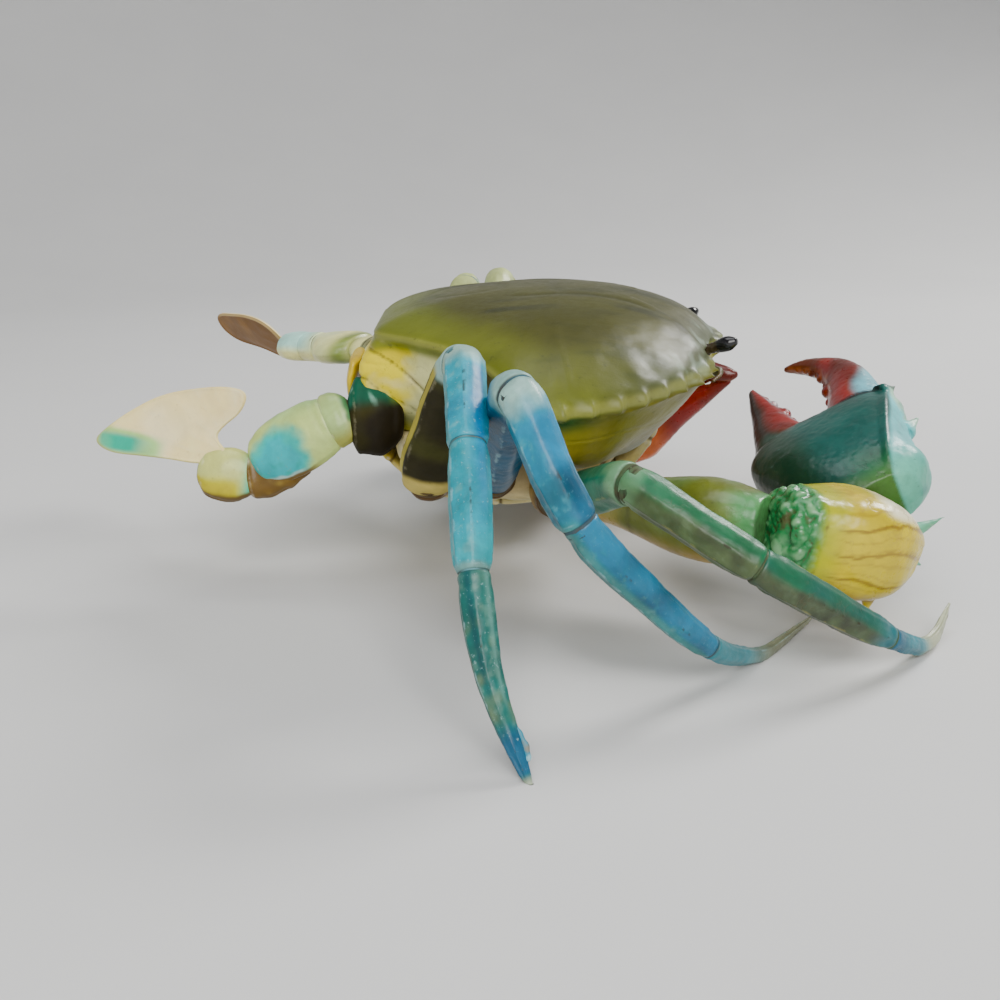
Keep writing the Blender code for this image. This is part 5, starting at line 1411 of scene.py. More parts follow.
def claw_carpus(side, claw):
    """The chunky wrist block with a strong spine at its inner corner, its paint carrying a painted highlight
    on top and painted shade below.
    """
    start, end = claw["carpus"]
    along = unit(end - start)
    length = float(np.linalg.norm(end - start))
    up = unit(vec(0.0, 0.0, 1.0) - along * along[2])
    out = np.cross(along, up)
    t = np.linspace(0.0, 1.0, 48)
    tall, deep = columns(t, CARPUS_STATIONS)
    forms = [closed_loft(start + along * (t * length)[:, None], up, out, tall / 2, deep / 2, 3.3)]
    inward = out * (-1.0 if side == "right" else 1.0)
    corner = end - along * 2.5 + up * 1.5 + inward * 3.0
    lower = blend(start, end, 0.73) - up * 8.5 - inward * 5.0
    forms.append(thorn(corner, corner + along * 12.0 + up * 7.5 + inward * 1.5, 2.9))
    forms.append(thorn(end - along * 2.5 - up * 2.0, end + along * 4.5 - up * 2.5, 2.4))
    forms.append(thorn(lower, lower - up * 7.0 + along * 1.0, 3.2))
    for share, turn, size in COLLAR_KNOBS:
        rim = start + along * (share * length) + up * (8.4 * math.cos(turn)) + out * (8.2 * math.sin(turn))
        forms.append(knob(rim, unit(up * -math.sin(turn) + out * math.cos(turn)),
                          unit(up * math.cos(turn) + out * math.sin(turn)), size * 1.8, 2.2, 1.9))
    points, faces, normals = fused(forms, 0.5, 3)
    shift = points - start
    share = shift @ along / length
    collar = soft(share, 0.26, 0.16)
    wrinkle = (0.55 * np.abs(cloud(points, 2.6, 61)) ** 0.7 + 0.45 * np.abs(cloud(points, 1.3, 66)) ** 0.7)
    points, grains = claw_relief(points, normals, 62, 0.08)
    points = points + normals * (collar * (0.85 - 1.2 * (1.0 - wrinkle) ** 2))[:, None]
    drift = 0.5 * cloud(points, 7.0, 63)
    # Painted shade on the downward faces, and a painted highlight on the upper faces towards the palm.
    low = soft(-(normals @ up) + 0.4 * drift, 0.35, 0.95)
    painted_highlight = soft(normals @ up + 0.25 * drift, 0.45, 0.85) * soft(share + 0.1 * drift, 0.52, 0.70)
    veins = veined(points, share * length)
    colour = coats(paint(share.shape, (0.50, 0.40, 0.006)),
        ((0.60, 0.50, 0.014), soft(drift, -0.2, 0.5)),
        # Painted highlight: cream on the upper facet.
        ((0.92, 0.87, 0.68), painted_highlight * 0.9),
        # Painted shade: ochre-brown on the lower faces.
        ((0.26, 0.16, 0.006), low * 0.8),
        ((0.16, 0.085, 0.006), veins * soft(share, 0.26, 0.36) * 0.75),
        ((0.30, 0.36, 0.03), soft(share + 0.1 * drift, 0.42, 0.28) * 0.6),
        ((0.030, 0.17, 0.060), collar),
        ((0.22, 0.40, 0.22), collar * soft(wrinkle, 0.35, 0.75) * 0.8),
        ((0.10, 0.36, 0.26), soft(share, 0.985, 1.04) * 0.9))
    crease = (collar * soft(1.0 - wrinkle, 0.55, 0.95) * 0.8 + 0.35 * veins * (1.0 - collar)
              + 0.35 * bump(share, 0.225, 0.015))
    aged = soft(normals @ up + 0.6 * drift, -0.4, 0.7) * soft(share, 0.25, 0.4)
    make_piece(f"claw_{side}_carpus_shell", points, faces, FINISHES["claw_yellow"],
               (f"claw_{side}_carpus",),
               {"paint": colour, "crest": 0.12 * grains + 0.4 * soft(share, 0.99, 1.06),
                "crease": crease, "aged": aged})


def claw_arm(side, claw):
    """The inner length of a claw's limb, from the body to the elbow, and its five spines."""
    joints = [vec(*joint) for joint in claw["arm"]]
    points, run, _ = limb_line(claw["arm"], 12.0)
    t = np.linspace(0.0, 1.0, 60)
    centres = on_line(points, run, t * run[-1])
    headings = units(np.gradient(centres, axis=0))
    wide = units(vec(0.0, 0.0, 1.0) - headings * headings[:, 2:3])
    half_wide, half_deep = (flowing(t, stops) / 2.0 for stops in CLAW_ARM)
    forms = [closed_loft(centres, wide, np.cross(headings, wide), half_wide, half_deep, 2.4)]
    along = unit(joints[-1] - joints[2])
    front = unit(vec(1.0, 0.0, 0.1) - along * along[0])
    for base, spread in ((joints[1], 4.5), (joints[2], 6.8), (blend(joints[3], joints[4], 0.3), 7.8)):
        base = base + front * spread
        forms.append(thorn(base, base + front * 4.5 + along * 2.0, 1.9))
    for base, spread in ((joints[2], 6.8), (blend(joints[3], joints[4], 0.5), 7.5)):
        base = base - front * spread + vec(0.0, 0.0, 2.0)
        forms.append(thorn(base, base - front * 3.5 + along * 1.5, 1.7))
    points, faces, normals = fused(forms, 0.5, 3)
    share = (points - joints[0]) @ unit(joints[-1] - joints[0]) / np.linalg.norm(joints[-1] - joints[0])
    points, grains = claw_relief(points, normals, 72, 0.10)
    drift = 0.5 * cloud(points, 7.0, 73)
    colour = coats(paint(share.shape, (0.12, 0.14, 0.035)),
        ((0.15, 0.24, 0.10), soft(drift, -0.2, 0.5)),
        ((0.30, 0.20, 0.03), soft(-normals[:, 2] + 0.4 * drift, 0.1, 0.8)),
        (LEAF, soft(share + 0.1 * drift, 0.86, 0.98) * 0.8),
        ((0.55, 0.40, 0.16), soft(share, 0.30, 0.05) * 0.7))
    make_piece(f"claw_{side}_arm_shell", points, faces, FINISHES["claw_olive"],
               (f"claw_{side}_arm",),
               {"paint": colour, "crest": 0.5 * grains,
                "crease": 0.8 * soft(share, 0.97, 1.02) + 0.5 * bump(share, 0.30, 0.03),
                "aged": soft(drift, -0.2, 0.3)})


def claw_limb(side, claw):
    for build in (claw_arm, claw_carpus, claw_palm, claw_finger):
        build(side, claw)


# ---------------------------------------------------------------- body

SHELL_HALF_WIDTH = 62.5
SHELL_FRONT_X = 62.0
SHELL_CENTRE_X = 8.0
SHELL_REAR_X = -26.0
SHELL_REAR_HALF_WIDTH = 21.0
SHELL_WIDEST_X = 13.0
SHELL_TOP_Z = 75.5
RIM_SIDE_Z, RIM_FRONT_Z, RIM_REAR_Z = 55.0, 62.5, 66.0
SHELL_FLOOR_REAR_Z, SHELL_FLOOR_SLOPE = 41.0, -0.085
SIDE_TEETH, SIDE_TOOTH_LENGTH = 9, 2.3
ORBIT_INNER_Y, ORBIT_OUTER_Y, ORBIT_DEPTH = 14.5, 30.0, 5.0
DOME_CENTRE_X = 22.0
DOME_FULLNESS = (2.5, 0.66)
CHEEK_BULGE, REAR_BULGE, REAR_HOLLOW = 1.8, 5.5, 3.5
# Down the flank, its width as a share of the rim's: at the sides and rear, and at the front
FLANK_WIDTHS = ((0.0, 0.985, 0.985), (0.10, 0.955, 0.94), (0.42, 0.91, 0.82), (0.75, 0.83, 0.66),
                (1.0, 0.66, 0.52))
FIRST_TOOTH = math.asin(ORBIT_OUTER_Y / (SHELL_HALF_WIDTH + 1.0))
LAST_TOOTH = math.asin(0.995)


def shell_floor(x):
    return SHELL_FLOOR_REAR_Z + SHELL_FLOOR_SLOPE * (x - SHELL_REAR_X)


def rim_height(x, y):
    """The rim is lowest at the sides and rises to the front and the rear."""
    reach = np.minimum(np.abs(y) / SHELL_HALF_WIDTH, 1.0)
    ahead = blend(RIM_FRONT_Z, RIM_SIDE_Z, reach ** 1.6)
    behind = blend(RIM_REAR_Z, RIM_SIDE_Z, reach ** 4)
    return blend(behind, ahead, soft(x, SHELL_WIDEST_X - 4.0, SHELL_WIDEST_X + 4.0))


def shell_outline(count):
    """The carapace's smooth edge, seen from above, evenly spaced from the front midline."""
    half = []
    for angle in np.linspace(0.0, LAST_TOOTH, 160):
        y = (SHELL_HALF_WIDTH + 1.0) * math.sin(angle)
        inset = 1.0 if y < ORBIT_INNER_Y else 2.0 if y < ORBIT_OUTER_Y else 0.0
        half.append((SHELL_CENTRE_X + (SHELL_FRONT_X - SHELL_CENTRE_X) * math.cos(angle) - inset, y))
    for t in np.linspace(0.10, 0.97, 60):
        x = blend(SHELL_WIDEST_X - 4.0, SHELL_REAR_X + 1.5, t)
        y = blend(SHELL_HALF_WIDTH - 1.0, SHELL_REAR_HALF_WIDTH + 2.0, t)
        hollow = REAR_HOLLOW * math.sin(math.pi * t)
        half.append((x + hollow * 0.75, y - hollow * 0.65))
    half += [(SHELL_REAR_X, SHELL_REAR_HALF_WIDTH * t) for t in np.linspace(1.0, 0.0, 22)]
    half = np.array(half)
    loop = np.vstack((half, half[-2:0:-1] * (1.0, -1.0)))
    loop = even_loop(loop, 1200)
    steps = np.arange(-24, 25)
    weights = np.exp(-(steps / 9.0) ** 2)
    weights /= weights.sum()
    loop = sum(weight * np.roll(loop, -step, axis=0) for step, weight in zip(steps, weights))
    return even_loop(loop, count)


def edge_teeth(x, y):
    """How far the rim's lobes, orbits and side teeth reach out, how far forward, and their tips."""
    side = np.abs(y)
    angle = np.arctan2(side / (SHELL_HALF_WIDTH + 1.0),
                       (x - SHELL_CENTRE_X) / (SHELL_FRONT_X - SHELL_CENTRE_X))
    ahead = x > SHELL_WIDEST_X - 3.0
    lobes = np.abs(np.sin(math.pi * side / (ORBIT_INNER_Y / 2.0))) ** 0.7
    in_front = soft(side, ORBIT_INNER_Y + 1.2, ORBIT_INNER_Y - 0.2) * ahead
    forward = in_front * (-0.6 + 2.7 * lobes)
    orbit = (soft(side, ORBIT_INNER_Y - 0.4, ORBIT_INNER_Y + 1.6)
             * soft(side, ORBIT_OUTER_Y, ORBIT_OUTER_Y - 2.2))
    forward -= ahead * orbit * (ORBIT_DEPTH - 2.0)
    share = np.clip((angle - FIRST_TOOTH) / (LAST_TOOTH - FIRST_TOOTH), -0.2, 1.2)
    phase = np.sign(share) * np.abs(share) ** 0.86 * (SIDE_TEETH - 0.25)
    part = phase - np.floor(phase)
    tip = np.where(part < 0.30, 0.45 + 0.55 * part / 0.30,
                   np.clip(1.0 - (part - 0.30) / 0.45, 0.0, 1.0) ** 1.3)
    tip = np.where(part > 0.80, 0.45 * (np.maximum(part - 0.80, 0.0) / 0.20) ** 1.5, tip) ** 1.5
    tip = tip * (0.62 + 0.38 * soft(phase, SIDE_TEETH - 2.0, SIDE_TEETH - 0.8))
    there = ahead * soft(phase, -0.30, -0.02) * soft(phase, SIDE_TEETH + 0.1, SIDE_TEETH - 0.25)
    out = there * (SIDE_TOOTH_LENGTH * 0.55 * tip - 0.35 * (1.0 - tip))
    forward += there * SIDE_TOOTH_LENGTH * 0.45 * tip
    return out, forward, np.clip(there * tip + in_front * lobes, 0.0, 1.0), angle


def dome_relief(x, y):
    """How far the carapace's grooves and ridges rise or sink, and where each kind lies."""
    side = np.abs(y)
    groove = (bump(side - (15.5 + 0.012 * (x - 18.0) ** 2 * (x > 18)), 0.0, 1.5)
              * soft(x, 4.0, 12.0) * soft(x, 46.0, 38.0))
    groove = np.maximum(groove, bump(x - (18.5 + 0.010 * side ** 2), 0.0, 1.4) * soft(side, 17.0, 14.0) * 0.7)
    heart = bump(np.hypot((x + 4.0) / 10.0, side / 9.0), 1.0, 0.16) * soft(x, 10.0, 2.0)
    groove = np.maximum(groove, 0.5 * heart)
    ridge = (bump(x - (17.0 + 0.006 * (side - 40.0) ** 2), 0.0, 1.3)
             * soft(side, 40.0, 52.0) * soft(side, 64.0, 58.0))
    brow = bump(x - (41.0 - 0.02 * side ** 2), 0.0, 0.9) * soft(side, 16.0, 11.0) * soft(side, 1.5, 4.0)
    return -0.24 * groove + 0.22 * ridge + 0.16 * brow, groove, np.maximum(ridge, brow)


CARAPACE_AROUND = 720
DOME_RINGS = np.concatenate((np.linspace(0.015, 0.90, 60), np.linspace(0.91, 0.992, 20)))
RIM_RINGS = (0.42, 0.12, -0.22, -0.52)
FLANK_RINGS = np.concatenate((np.linspace(0.004, 0.10, 8), np.linspace(0.12, 1.0, 58)))


def carapace_rings():
    """Dome, toothed rim and flanks, how far out and how far down each ring lies, and the teeth's tips."""
    outline = shell_outline(CARAPACE_AROUND)
    x, y = outline[:, 0], outline[:, 1]
    rim = rim_height(x, y)
    out, forward, tips, angle = edge_teeth(x, y)
    heading = np.stack((np.cos(angle), np.sign(y) * np.sin(angle)), axis=-1)
    centre = np.array((DOME_CENTRE_X, 0.0))
    from_centre = outline - centre
    power, root = DOME_FULLNESS
    rings = []
    for scale in DOME_RINGS:
        lift = (1.0 - scale ** power) ** root
        near_rim = soft(scale, 0.972, 0.999)
        flat = centre + from_centre * scale + heading * (out * near_rim)[:, None]
        flat[:, 0] += forward * near_rim
        rings.append(np.column_stack((flat, blend(rim, SHELL_TOP_Z, lift))))
    for lift in RIM_RINGS:
        flat = outline + heading * out[:, None] * (1.0 - 0.10 * abs(lift))
        flat[:, 0] += forward
        rings.append(np.column_stack((flat, rim + lift + 0.15 * (1.0 - tips))))
    for drop in FLANK_RINGS:
        steep, sloped = (float(width) for width in columns(drop, FLANK_WIDTHS))
        scale = blend(steep, sloped, soft(x, 18.0, 48.0))[:, None]
        hold = math.exp(-(drop / 0.03) ** 2)
        flat = centre + from_centre * scale + heading * (out * hold)[:, None]
        flat[:, 0] += forward * hold
        ahead = soft(flat[:, 0], SHELL_FRONT_X - 20.0, SHELL_FRONT_X - 12.0)
        flat[:, 0] += ahead * CHEEK_BULGE * (1.0 - drop) ** 3
        behind = soft(x, SHELL_REAR_X + 5.0, SHELL_REAR_X + 1.5)
        swollen = x + 3.0 * drop - REAR_BULGE * math.sin(math.pi * min(drop * 1.1, 1.0))
        flat[:, 0] = blend(flat[:, 0], swollen, behind)
        z = blend(rim - 1.2, shell_floor(flat[:, 0]) + GAP / 2, drop)
        mouth = soft(np.abs(flat[:, 1]), 12.8, 11.2) * soft(z, 56.0, 53.5) * (flat[:, 0] > 30.0)
        flat[:, 0] -= mouth * np.maximum(flat[:, 0] - 42.0 - 0.2 * (z - 40.0), 0.0)
        rings.append(np.column_stack((flat, z)))
    reach = np.concatenate((DOME_RINGS, np.ones(len(RIM_RINGS) + len(FLANK_RINGS))))
    drop = np.concatenate((np.zeros(len(DOME_RINGS) + len(RIM_RINGS)), FLANK_RINGS))
    around = np.ones(CARAPACE_AROUND)
    return np.array(rings), reach[:, None] * around, drop[:, None] * around, tips


def flank_folds(x, side, drop):
    """The long suture on the flanks, the fold below it and the plates behind."""
    suture_at = 0.34 + 0.10 * soft(x, 20.0, 60.0) + 0.015 * np.sin(x * 0.35)
    suture = bump(drop, suture_at, 0.020) * soft(x, -18.0, -6.0) * soft(side, 12.0, 20.0)
    fold = (bump(drop, suture_at + 0.22 + 0.10 * soft(x, 0.0, 40.0), 0.030)
            * soft(x, -14.0, 0.0) * soft(side, 14.0, 22.0))
    behind = np.clip((x + 28.0) / 22.0, 0.0, 1.0)
    plates = soft(x, -3.0, -9.0) * (
        0.9 * bump(drop, 0.10 + 0.75 * behind ** 1.5, 0.034)
        + 0.8 * bump(drop, 0.42 + 0.50 * behind ** 0.8, 0.032)
        + 0.5 * bump(drop, 0.24 + 0.10 * behind, 0.016) * soft(behind, 0.35, 0.1))
    return suture, fold, plates


def dome_paint(grid, x, reach, groove, drift):
    """Olive streaks over the dome, with a painted grey reflection and painted silvery highlights towards the
    front edge.
    """
    streak = (cloud(grid * vec(0.18, 1.0, 1.0), 1.8, 14) * 0.5
              + cloud(grid * vec(0.3, 1.0, 1.0), 4.5, 15) * 0.5)
    # Painted highlights: pale silvery patches near the front edge.
    pale = soft(rough_cloud(grid, 3.2, 20), 0.05, 0.5) * soft(x, 38.0, 54.0)
    return coats(paint(reach.shape, OLIVE),
        (OLIVE_DEEP, soft(streak + 0.3 * drift, 0.05, 0.6) * 0.75),
        (MOSS, soft(-x + 8.0 * drift, 4.0, 26.0) * 0.85),
        (OLIVE_YELLOW, soft(reach + 0.10 * drift, 0.68, 1.02) * soft(x, 50.0, 12.0) * 0.8),
        # A painted grey reflection along the front edge, then the painted silvery highlights.
        ((0.075, 0.088, 0.050), soft(reach + 0.08 * drift, 0.84, 0.97) * soft(x, 22.0, 46.0) * 0.8),
        ((0.26, 0.31, 0.25), pale * soft(reach, 0.80, 0.95) * 0.8),
        (OLIVE_DEEP, groove * 0.40),
        ((0.36, 0.36, 0.13), bump(reach, 0.998, 0.010) * 0.40))


def flank_paint(grid, x, side, drop, drift):
    """Dull yellow flanks, green and cream by turns, with a bright rear and a painted shadow under the rim."""
    return coats(paint(drop.shape, (0.155, 0.140, 0.030)),
        ((0.19, 0.18, 0.045), soft(drift, -0.2, 0.4)),
        ((0.26, 0.21, 0.05), soft(drop, 0.30, 0.55) * soft(x, 40.0, 10.0) * 0.7),
        # Painted shadow: dark green on the flank just under the rim, near the last side tooth.
        ((0.010, 0.060, 0.020), bump(x + 4.0 * drift, 16.0, 7.0) * soft(drop, 0.30, 0.03)
         * soft(side, 40.0, 52.0) * 0.95),
        ((0.66, 0.66, 0.36), soft(-x + 5.0 * drift, -2.0, 9.0) * soft(side, 52.0, 40.0)),
        ((0.74, 0.62, 0.08), soft(-x + 8.0 * rough_cloud(grid, 8.0, 16), 15.0, 22.0)),
        ((0.13, 0.16, 0.035), soft(-x, 0.0, 10.0) * soft(drop + 0.10 * drift, 0.16, 0.04) * 0.9),
        (CREAM, soft(rough_cloud(grid, 7.0, 16), 0.2, 0.5) * soft(-x, 0.0, 12.0) * 0.5),
        ((0.07, 0.11, 0.03), soft(drop + 0.25 * drift, 0.72, 0.95) * 0.7),
        ((0.24, 0.24, 0.09), soft(x, 40.0, 52.0) * soft(drop, 0.12, 0.3) * 0.4))


def carapace():
    """The whole upper shell: dome, toothed rim, flanks and the floor that closes it."""
    grid, reach, drop, tips = carapace_rings()
    x, y = grid[..., 0].copy(), grid[..., 1].copy()
    side = np.abs(y)
    top = np.arange(len(grid))[:, None] < len(DOME_RINGS)
    below = ~top & (drop > 0.0)
    lift, groove, ridge = dome_relief(x, y)
    quiet = soft(reach, 1.0, 0.93)
    front = soft(reach, 0.50, 0.85) * soft(x, 10.0, 36.0)
    ripple = (0.40 * cloud(grid, 11.0, 2) + 0.26 * cloud(grid, 5.0, 17) + 0.10 * cloud(grid, 2.4, 18)) * front
    dents = 0.22 * cloud(grid, 24.0, 5)
    grid[..., 2] += np.where(top, (lift + ripple + dents) * quiet, 0.0)
    suture, fold, plates = flank_folds(x, side, drop)
    from_centre = np.stack((x - DOME_CENTRE_X, y), axis=-1)
    from_centre /= np.linalg.norm(from_centre, axis=-1)[..., None] + 1e-6
    push = (0.40 * cloud(grid, 8.0, 8) + 0.12 * rough_cloud(grid, 2.6, 9)) * soft(drop, 0.0, 0.05)
    push = (push - 0.16 * suture - 0.06 * fold - 0.6 * plates) * soft(drop, 1.0, 0.93)
    grid[..., :2] += from_centre * push[..., None]
    drift = 0.5 * cloud(grid, 13.0, 12) + 0.25 * cloud(grid, 5.0, 13)
    colour = np.where(below[..., None], flank_paint(grid, x, side, drop, drift),
                      dome_paint(grid, x, reach, groove, drift))
    crest = (0.75 * tips * bump(reach, 1.0, 0.02) * (drop < 0.02) + 0.35 * ridge * top
             + 0.3 * bump(drop, 0.02, 0.02) * below)
    crease = 0.22 * groove * top + 0.26 * suture + 0.08 * fold + 0.75 * plates
    crease = crease + (0.35 * (1.0 - tips) * bump(reach, 0.99, 0.008) * (x > 12.0) * top
                       * soft(side, 26.0, 32.0))
    skin("carapace_shell", grid, FINISHES["shell"], ("carapace",),
         {"paint": colour, "crest": crest, "crease": np.clip(crease, 0.0, 1.0),
          "aged": soft(drift, -0.1, 0.4) * np.where(below, 0.9, 0.4)})


# Rings of the thorax: height, rear end, front end, half width
THORAX_RINGS = ((39.5, -22.5, 40.0, 22.5), (31.0, -20.0, 33.0, 22.5), (27.0, -14.5, 27.5, 22.0),
                (23.0, -7.0, 20.0, 17.0), (21.0, -2.0, 16.0, 13.0))
SUTURE_SPACING = 12.5


def thorax():
    """Breastplate between the legs, with its sutures from the middle to each leg."""
    top, tall = THORAX_RINGS[0][0], THORAX_RINGS[0][0] - THORAX_RINGS[-1][0]
    stops = [((top - ring[0]) / tall, *ring) for ring in THORAX_RINGS]
    levels = np.linspace(0.0, 1.0, 46)
    across, through = superellipse(ring_angles(200), 5.0)
    rings = []
    for level, z, rear, front, half in zip(levels, *columns(levels, stops)):
        x = (rear + front) / 2 + across * (front - rear) / 2
        height = blend(z, shell_floor(x) - GAP / 2, max(1.0 - level * 6.0, 0.0))
        rings.append(np.column_stack((x, through * half, height)))
    last = rings[-1]
    hub = last.mean(axis=0)
    rings += [hub + (last - hub) * scale for scale in np.sqrt(np.linspace(1.0, 0.0004, 26))[1:]]
    grid = np.array(rings)
    gx, gy, gz = grid[..., 0], grid[..., 1], grid[..., 2]
    side = np.abs(gy)
    wave = np.sin((gx - 0.16 * side) * 2.0 * math.pi / SUTURE_SPACING)
    lines = bump(wave, 1.0, 0.12) * soft(side, 3.0, 6.0)
    keel = bump(side, 0.0, 0.7)
    low = soft(gz, 39.0, 36.5)
    dent = ((0.8 * lines + 0.7 * keel) * low - 0.25 * cloud(grid, 5.0, 81) * low
            - 0.08 * rough_cloud(grid, 1.6, 82))
    out = units(np.stack((gx - 6.0, gy * 1.6, gz - 34.0), axis=-1))
    grid = grid - out * (dent * 0.75)[..., None]
    drift = 0.5 * cloud(grid, 6.0, 83)
    colour = coats(paint(gx.shape, CREAM),
        ((0.60, 0.46, 0.20), soft(drift, -0.2, 0.4) * 0.7),
        (TAN, soft(side, 17.0, 22.0) * 0.5))
    skin("thorax_shell", grid, FINISHES["body"], ("thorax",),
         {"paint": colour, "crest": 0.4 * bump(wave, -1.0, 0.3),
          "crease": np.clip(lines + 0.7 * keel, 0.0, 1.0) * low, "aged": soft(drift, -0.2, 0.4)})


# The abdomen's fold, from the rear rim down and forward: X, Z and half width
ABDOMEN_PATH = ((-32.0, 57.5, 11.0), (-33.2, 52.0, 12.0), (-32.5, 45.0, 11.5),
                (-27.5, 35.5, 11.0), (-17.0, 25.0, 10.0), (-5.0, 19.6, 9.0),
                (8.0, 18.6, 6.5), (17.0, 18.6, 3.0))
# A mouth flap, from its root up to the epistome: X, Z, width, thickness
MOUTH_PATH = ((24.0, 22.0, 6.0, 3.0), (31.0, 24.5, 9.5, 4.0), (38.5, 30.0, 11.0, 4.0),
              (44.0, 37.5, 10.5, 4.0), (47.0, 45.0, 7.0, 2.5))


def folded_plate(name, joints, widths, thicks, segments, colour_of, finish, seed):
    """A flat plate bent through its joints, crossed by grooves between its segments."""
    line = limb_line(joints, 9.0)
    total = line[1][-1]
    marks = [mark / total for mark in line[2]]
    wide, deep = list(zip(marks, widths)), list(zip(marks, thicks))

    def relief(t, angle, points):
        wave = np.zeros_like(t)
        for place in segments:
            wave -= 0.55 * bump(t * total, place * total, 0.55)
            wave += 0.32 * bump(t * total, place * total - 1.3, 0.7)
        return wave + 0.15 * cloud(points, 3.5, seed) + 0.06 * cloud(points, 1.2, seed + 1)

    grid, t, angle = tube(line, 0.0, total, wide, deep, vec(0.0, 1.0, 0.0), relief, sides=96, step=0.4,
                          squareness=2.6, edge=1.0)
    grooves = sum(bump(t * total, place * total, 0.55) for place in segments)
    rims = sum(bump(t * total, place * total - 1.2, 0.6) for place in segments)
    edge = bump(turn_from(angle, 0.0), 0.0, 0.15) + bump(turn_from(angle, math.pi), 0.0, 0.15)
    skin(f"{name}_shell", grid, FINISHES[finish], (name,),
         {"paint": colour_of(grid, t, angle), "crest": 0.5 * rims + 0.3 * edge,
          "crease": np.clip(0.9 * grooves, 0.0, 1.0), "aged": soft(cloud(grid, 6.0, seed), -0.2, 0.4)})


def abdomen():
    """The tail, folded forward under the body."""
    def colours(grid, t, angle):
        drift = 0.5 * cloud(grid, 5.0, 91)
        return coats(paint(t.shape, (0.60, 0.48, 0.10)),
            (BRIGHT_YELLOW, soft(t, 0.45, 0.1) * 0.8),
            (CREAM, soft(t + 0.3 * drift, 0.35, 0.6) * 0.8),
            (TAN, soft(drift, 0.1, 0.45) * 0.5))

    folded_plate("abdomen", [(x, 0.0, z) for x, z, _ in ABDOMEN_PATH],
                 [2 * half for _, _, half in ABDOMEN_PATH], [3.0] * len(ABDOMEN_PATH),
                 (0.13, 0.26, 0.40, 0.55, 0.70, 0.84), colours, "fold", 92)


def mouthpart(side, sign):
    """One of the two flaps that close over the mouth."""
    def colours(grid, t, angle):
        drift = 0.5 * cloud(grid, 3.5, 95)
        return coats(paint(t.shape, CREAM),
            ((0.50, 0.42, 0.20), soft(drift, -0.2, 0.4)),
            (TAN, soft(t, 0.75, 1.0) * 0.6))

    joints = [(x, sign * (width / 2 + GAP), z) for x, z, width, _ in MOUTH_PATH]
    folded_plate(f"mouthpart_{side}", joints, [row[2] for row in MOUTH_PATH], [row[3] for row in MOUTH_PATH],
                 (0.42, 0.74), colours, "body", 96)


EYE_BASE = (50.5, 19.0, 60.0)
EYE_END = (61.6, 26.4, 65.0)
EYE_RADII = ((0.0, 2.0), (0.35, 1.5), (0.6, 1.35), (0.72, 1.75), (0.88, 1.7), (1.0, 0.8))
ANTENNA_WIDTHS = ((0.0, 2.8), (0.25, 2.4), (0.4, 1.2), (1.0, 0.7))
ANTENNA_JOINTS = ((58.6, 10.0, 54.6), (60.8, 12.0, 54.8), (60.2, 16.0, 54.6), (57.6, 20.5, 54.0))


def eye(side, sign):
    """The stalk and its glossy dark cap."""
    mirror = vec(1.0, sign, 1.0)
    base, end = vec(*EYE_BASE) * mirror, vec(*EYE_END) * mirror
    line, length = straight_line(base, end)
    stops = [(t, radius * 2.0) for t, radius in EYE_RADII]

    def relief(t, angle, points):
        return (0.16 * soft(t, 0.66, 0.60) * np.sin(t * 60.0) * 0.4
                + 0.10 * cloud(points, 1.4, 101) * soft(t, 0.7, 0.6))

    grid, t, _ = tube(line, 0.0, length, stops, stops, unit(np.cross(end - base, vec(0.0, 0.0, 1.0))), relief,
                          sides=48, step=0.2, squareness=2.0, edge=0.4)
    colour = brush(paint(t.shape, (0.035, 0.026, 0.015)), BLACK, soft(t, 0.62, 0.70))
    skin(f"eye_{side}_stalk", grid, FINISHES["eye"], (f"eye_{side}",),
         {"paint": colour, "crest": 0.3 * bump(t, 0.62, 0.03), "crease": 0.6 * bump(t, 0.66, 0.03),
          "aged": 0.0 * t})


def antenna(side, sign):
    """A short base and a fine ringed feeler lying under the edge of the orbit."""
    line = limb_line([(x, y * sign, z) for x, y, z in ANTENNA_JOINTS], 2.5)
    total = line[1][-1]

    def relief(t, angle, points):
        return 0.05 * np.sin(t * total * 6.0) * soft(t, 0.3, 0.45) + 0.08 * bump(t, 0.27, 0.03)

    grid, t, _ = tube(line, 0.0, total, ANTENNA_WIDTHS, ANTENNA_WIDTHS, vec(0.0, 0.0, 1.0), relief,
                      sides=24, step=0.16, squareness=2.0, edge=0.4)
    rings = np.sin(t * total * 6.0)
    colour = brush(paint(t.shape, (0.10, 0.10, 0.05)), BROWN, soft(t, 0.2, 0.7) * 0.8)
    skin(f"antenna_{side}_feeler", grid, FINISHES["feeler"], (f"antenna_{side}",),
         {"paint": colour, "crest": 0.1 * soft(rings, 0.2, 1.0), "crease": 0.5 * soft(rings, -0.2, -1.0),
          "aged": 0.0 * t})


# ---------------------------------------------------------------- stage


def floor_finish():
    """Matt pale paper with the faintest tooth."""
    made, tree, shader = new_material("pale_paper_floor")
    place = tree.place()
    tone = tree.noise(place, 9.0, 3.0)
    tree.put(shader.inputs["Base Color"], tree.mixed((0.60, 0.60, 0.60), (0.66, 0.66, 0.655), tone))
    tree.put(shader.inputs["Normal"], tree.raised(tree.noise(place, 1400.0, 3.0), 0.2, 0.05))
    shader.inputs["Roughness"].default_value = 0.9
    return made


# The round floor in metres: its flat radius, the radius of its sweep, the wall's height and its sides
FLOOR_RADIUS, FLOOR_SWEEP, WALL_HEIGHT, FLOOR_SIDES = 0.6, 0.9, 1.6, 96


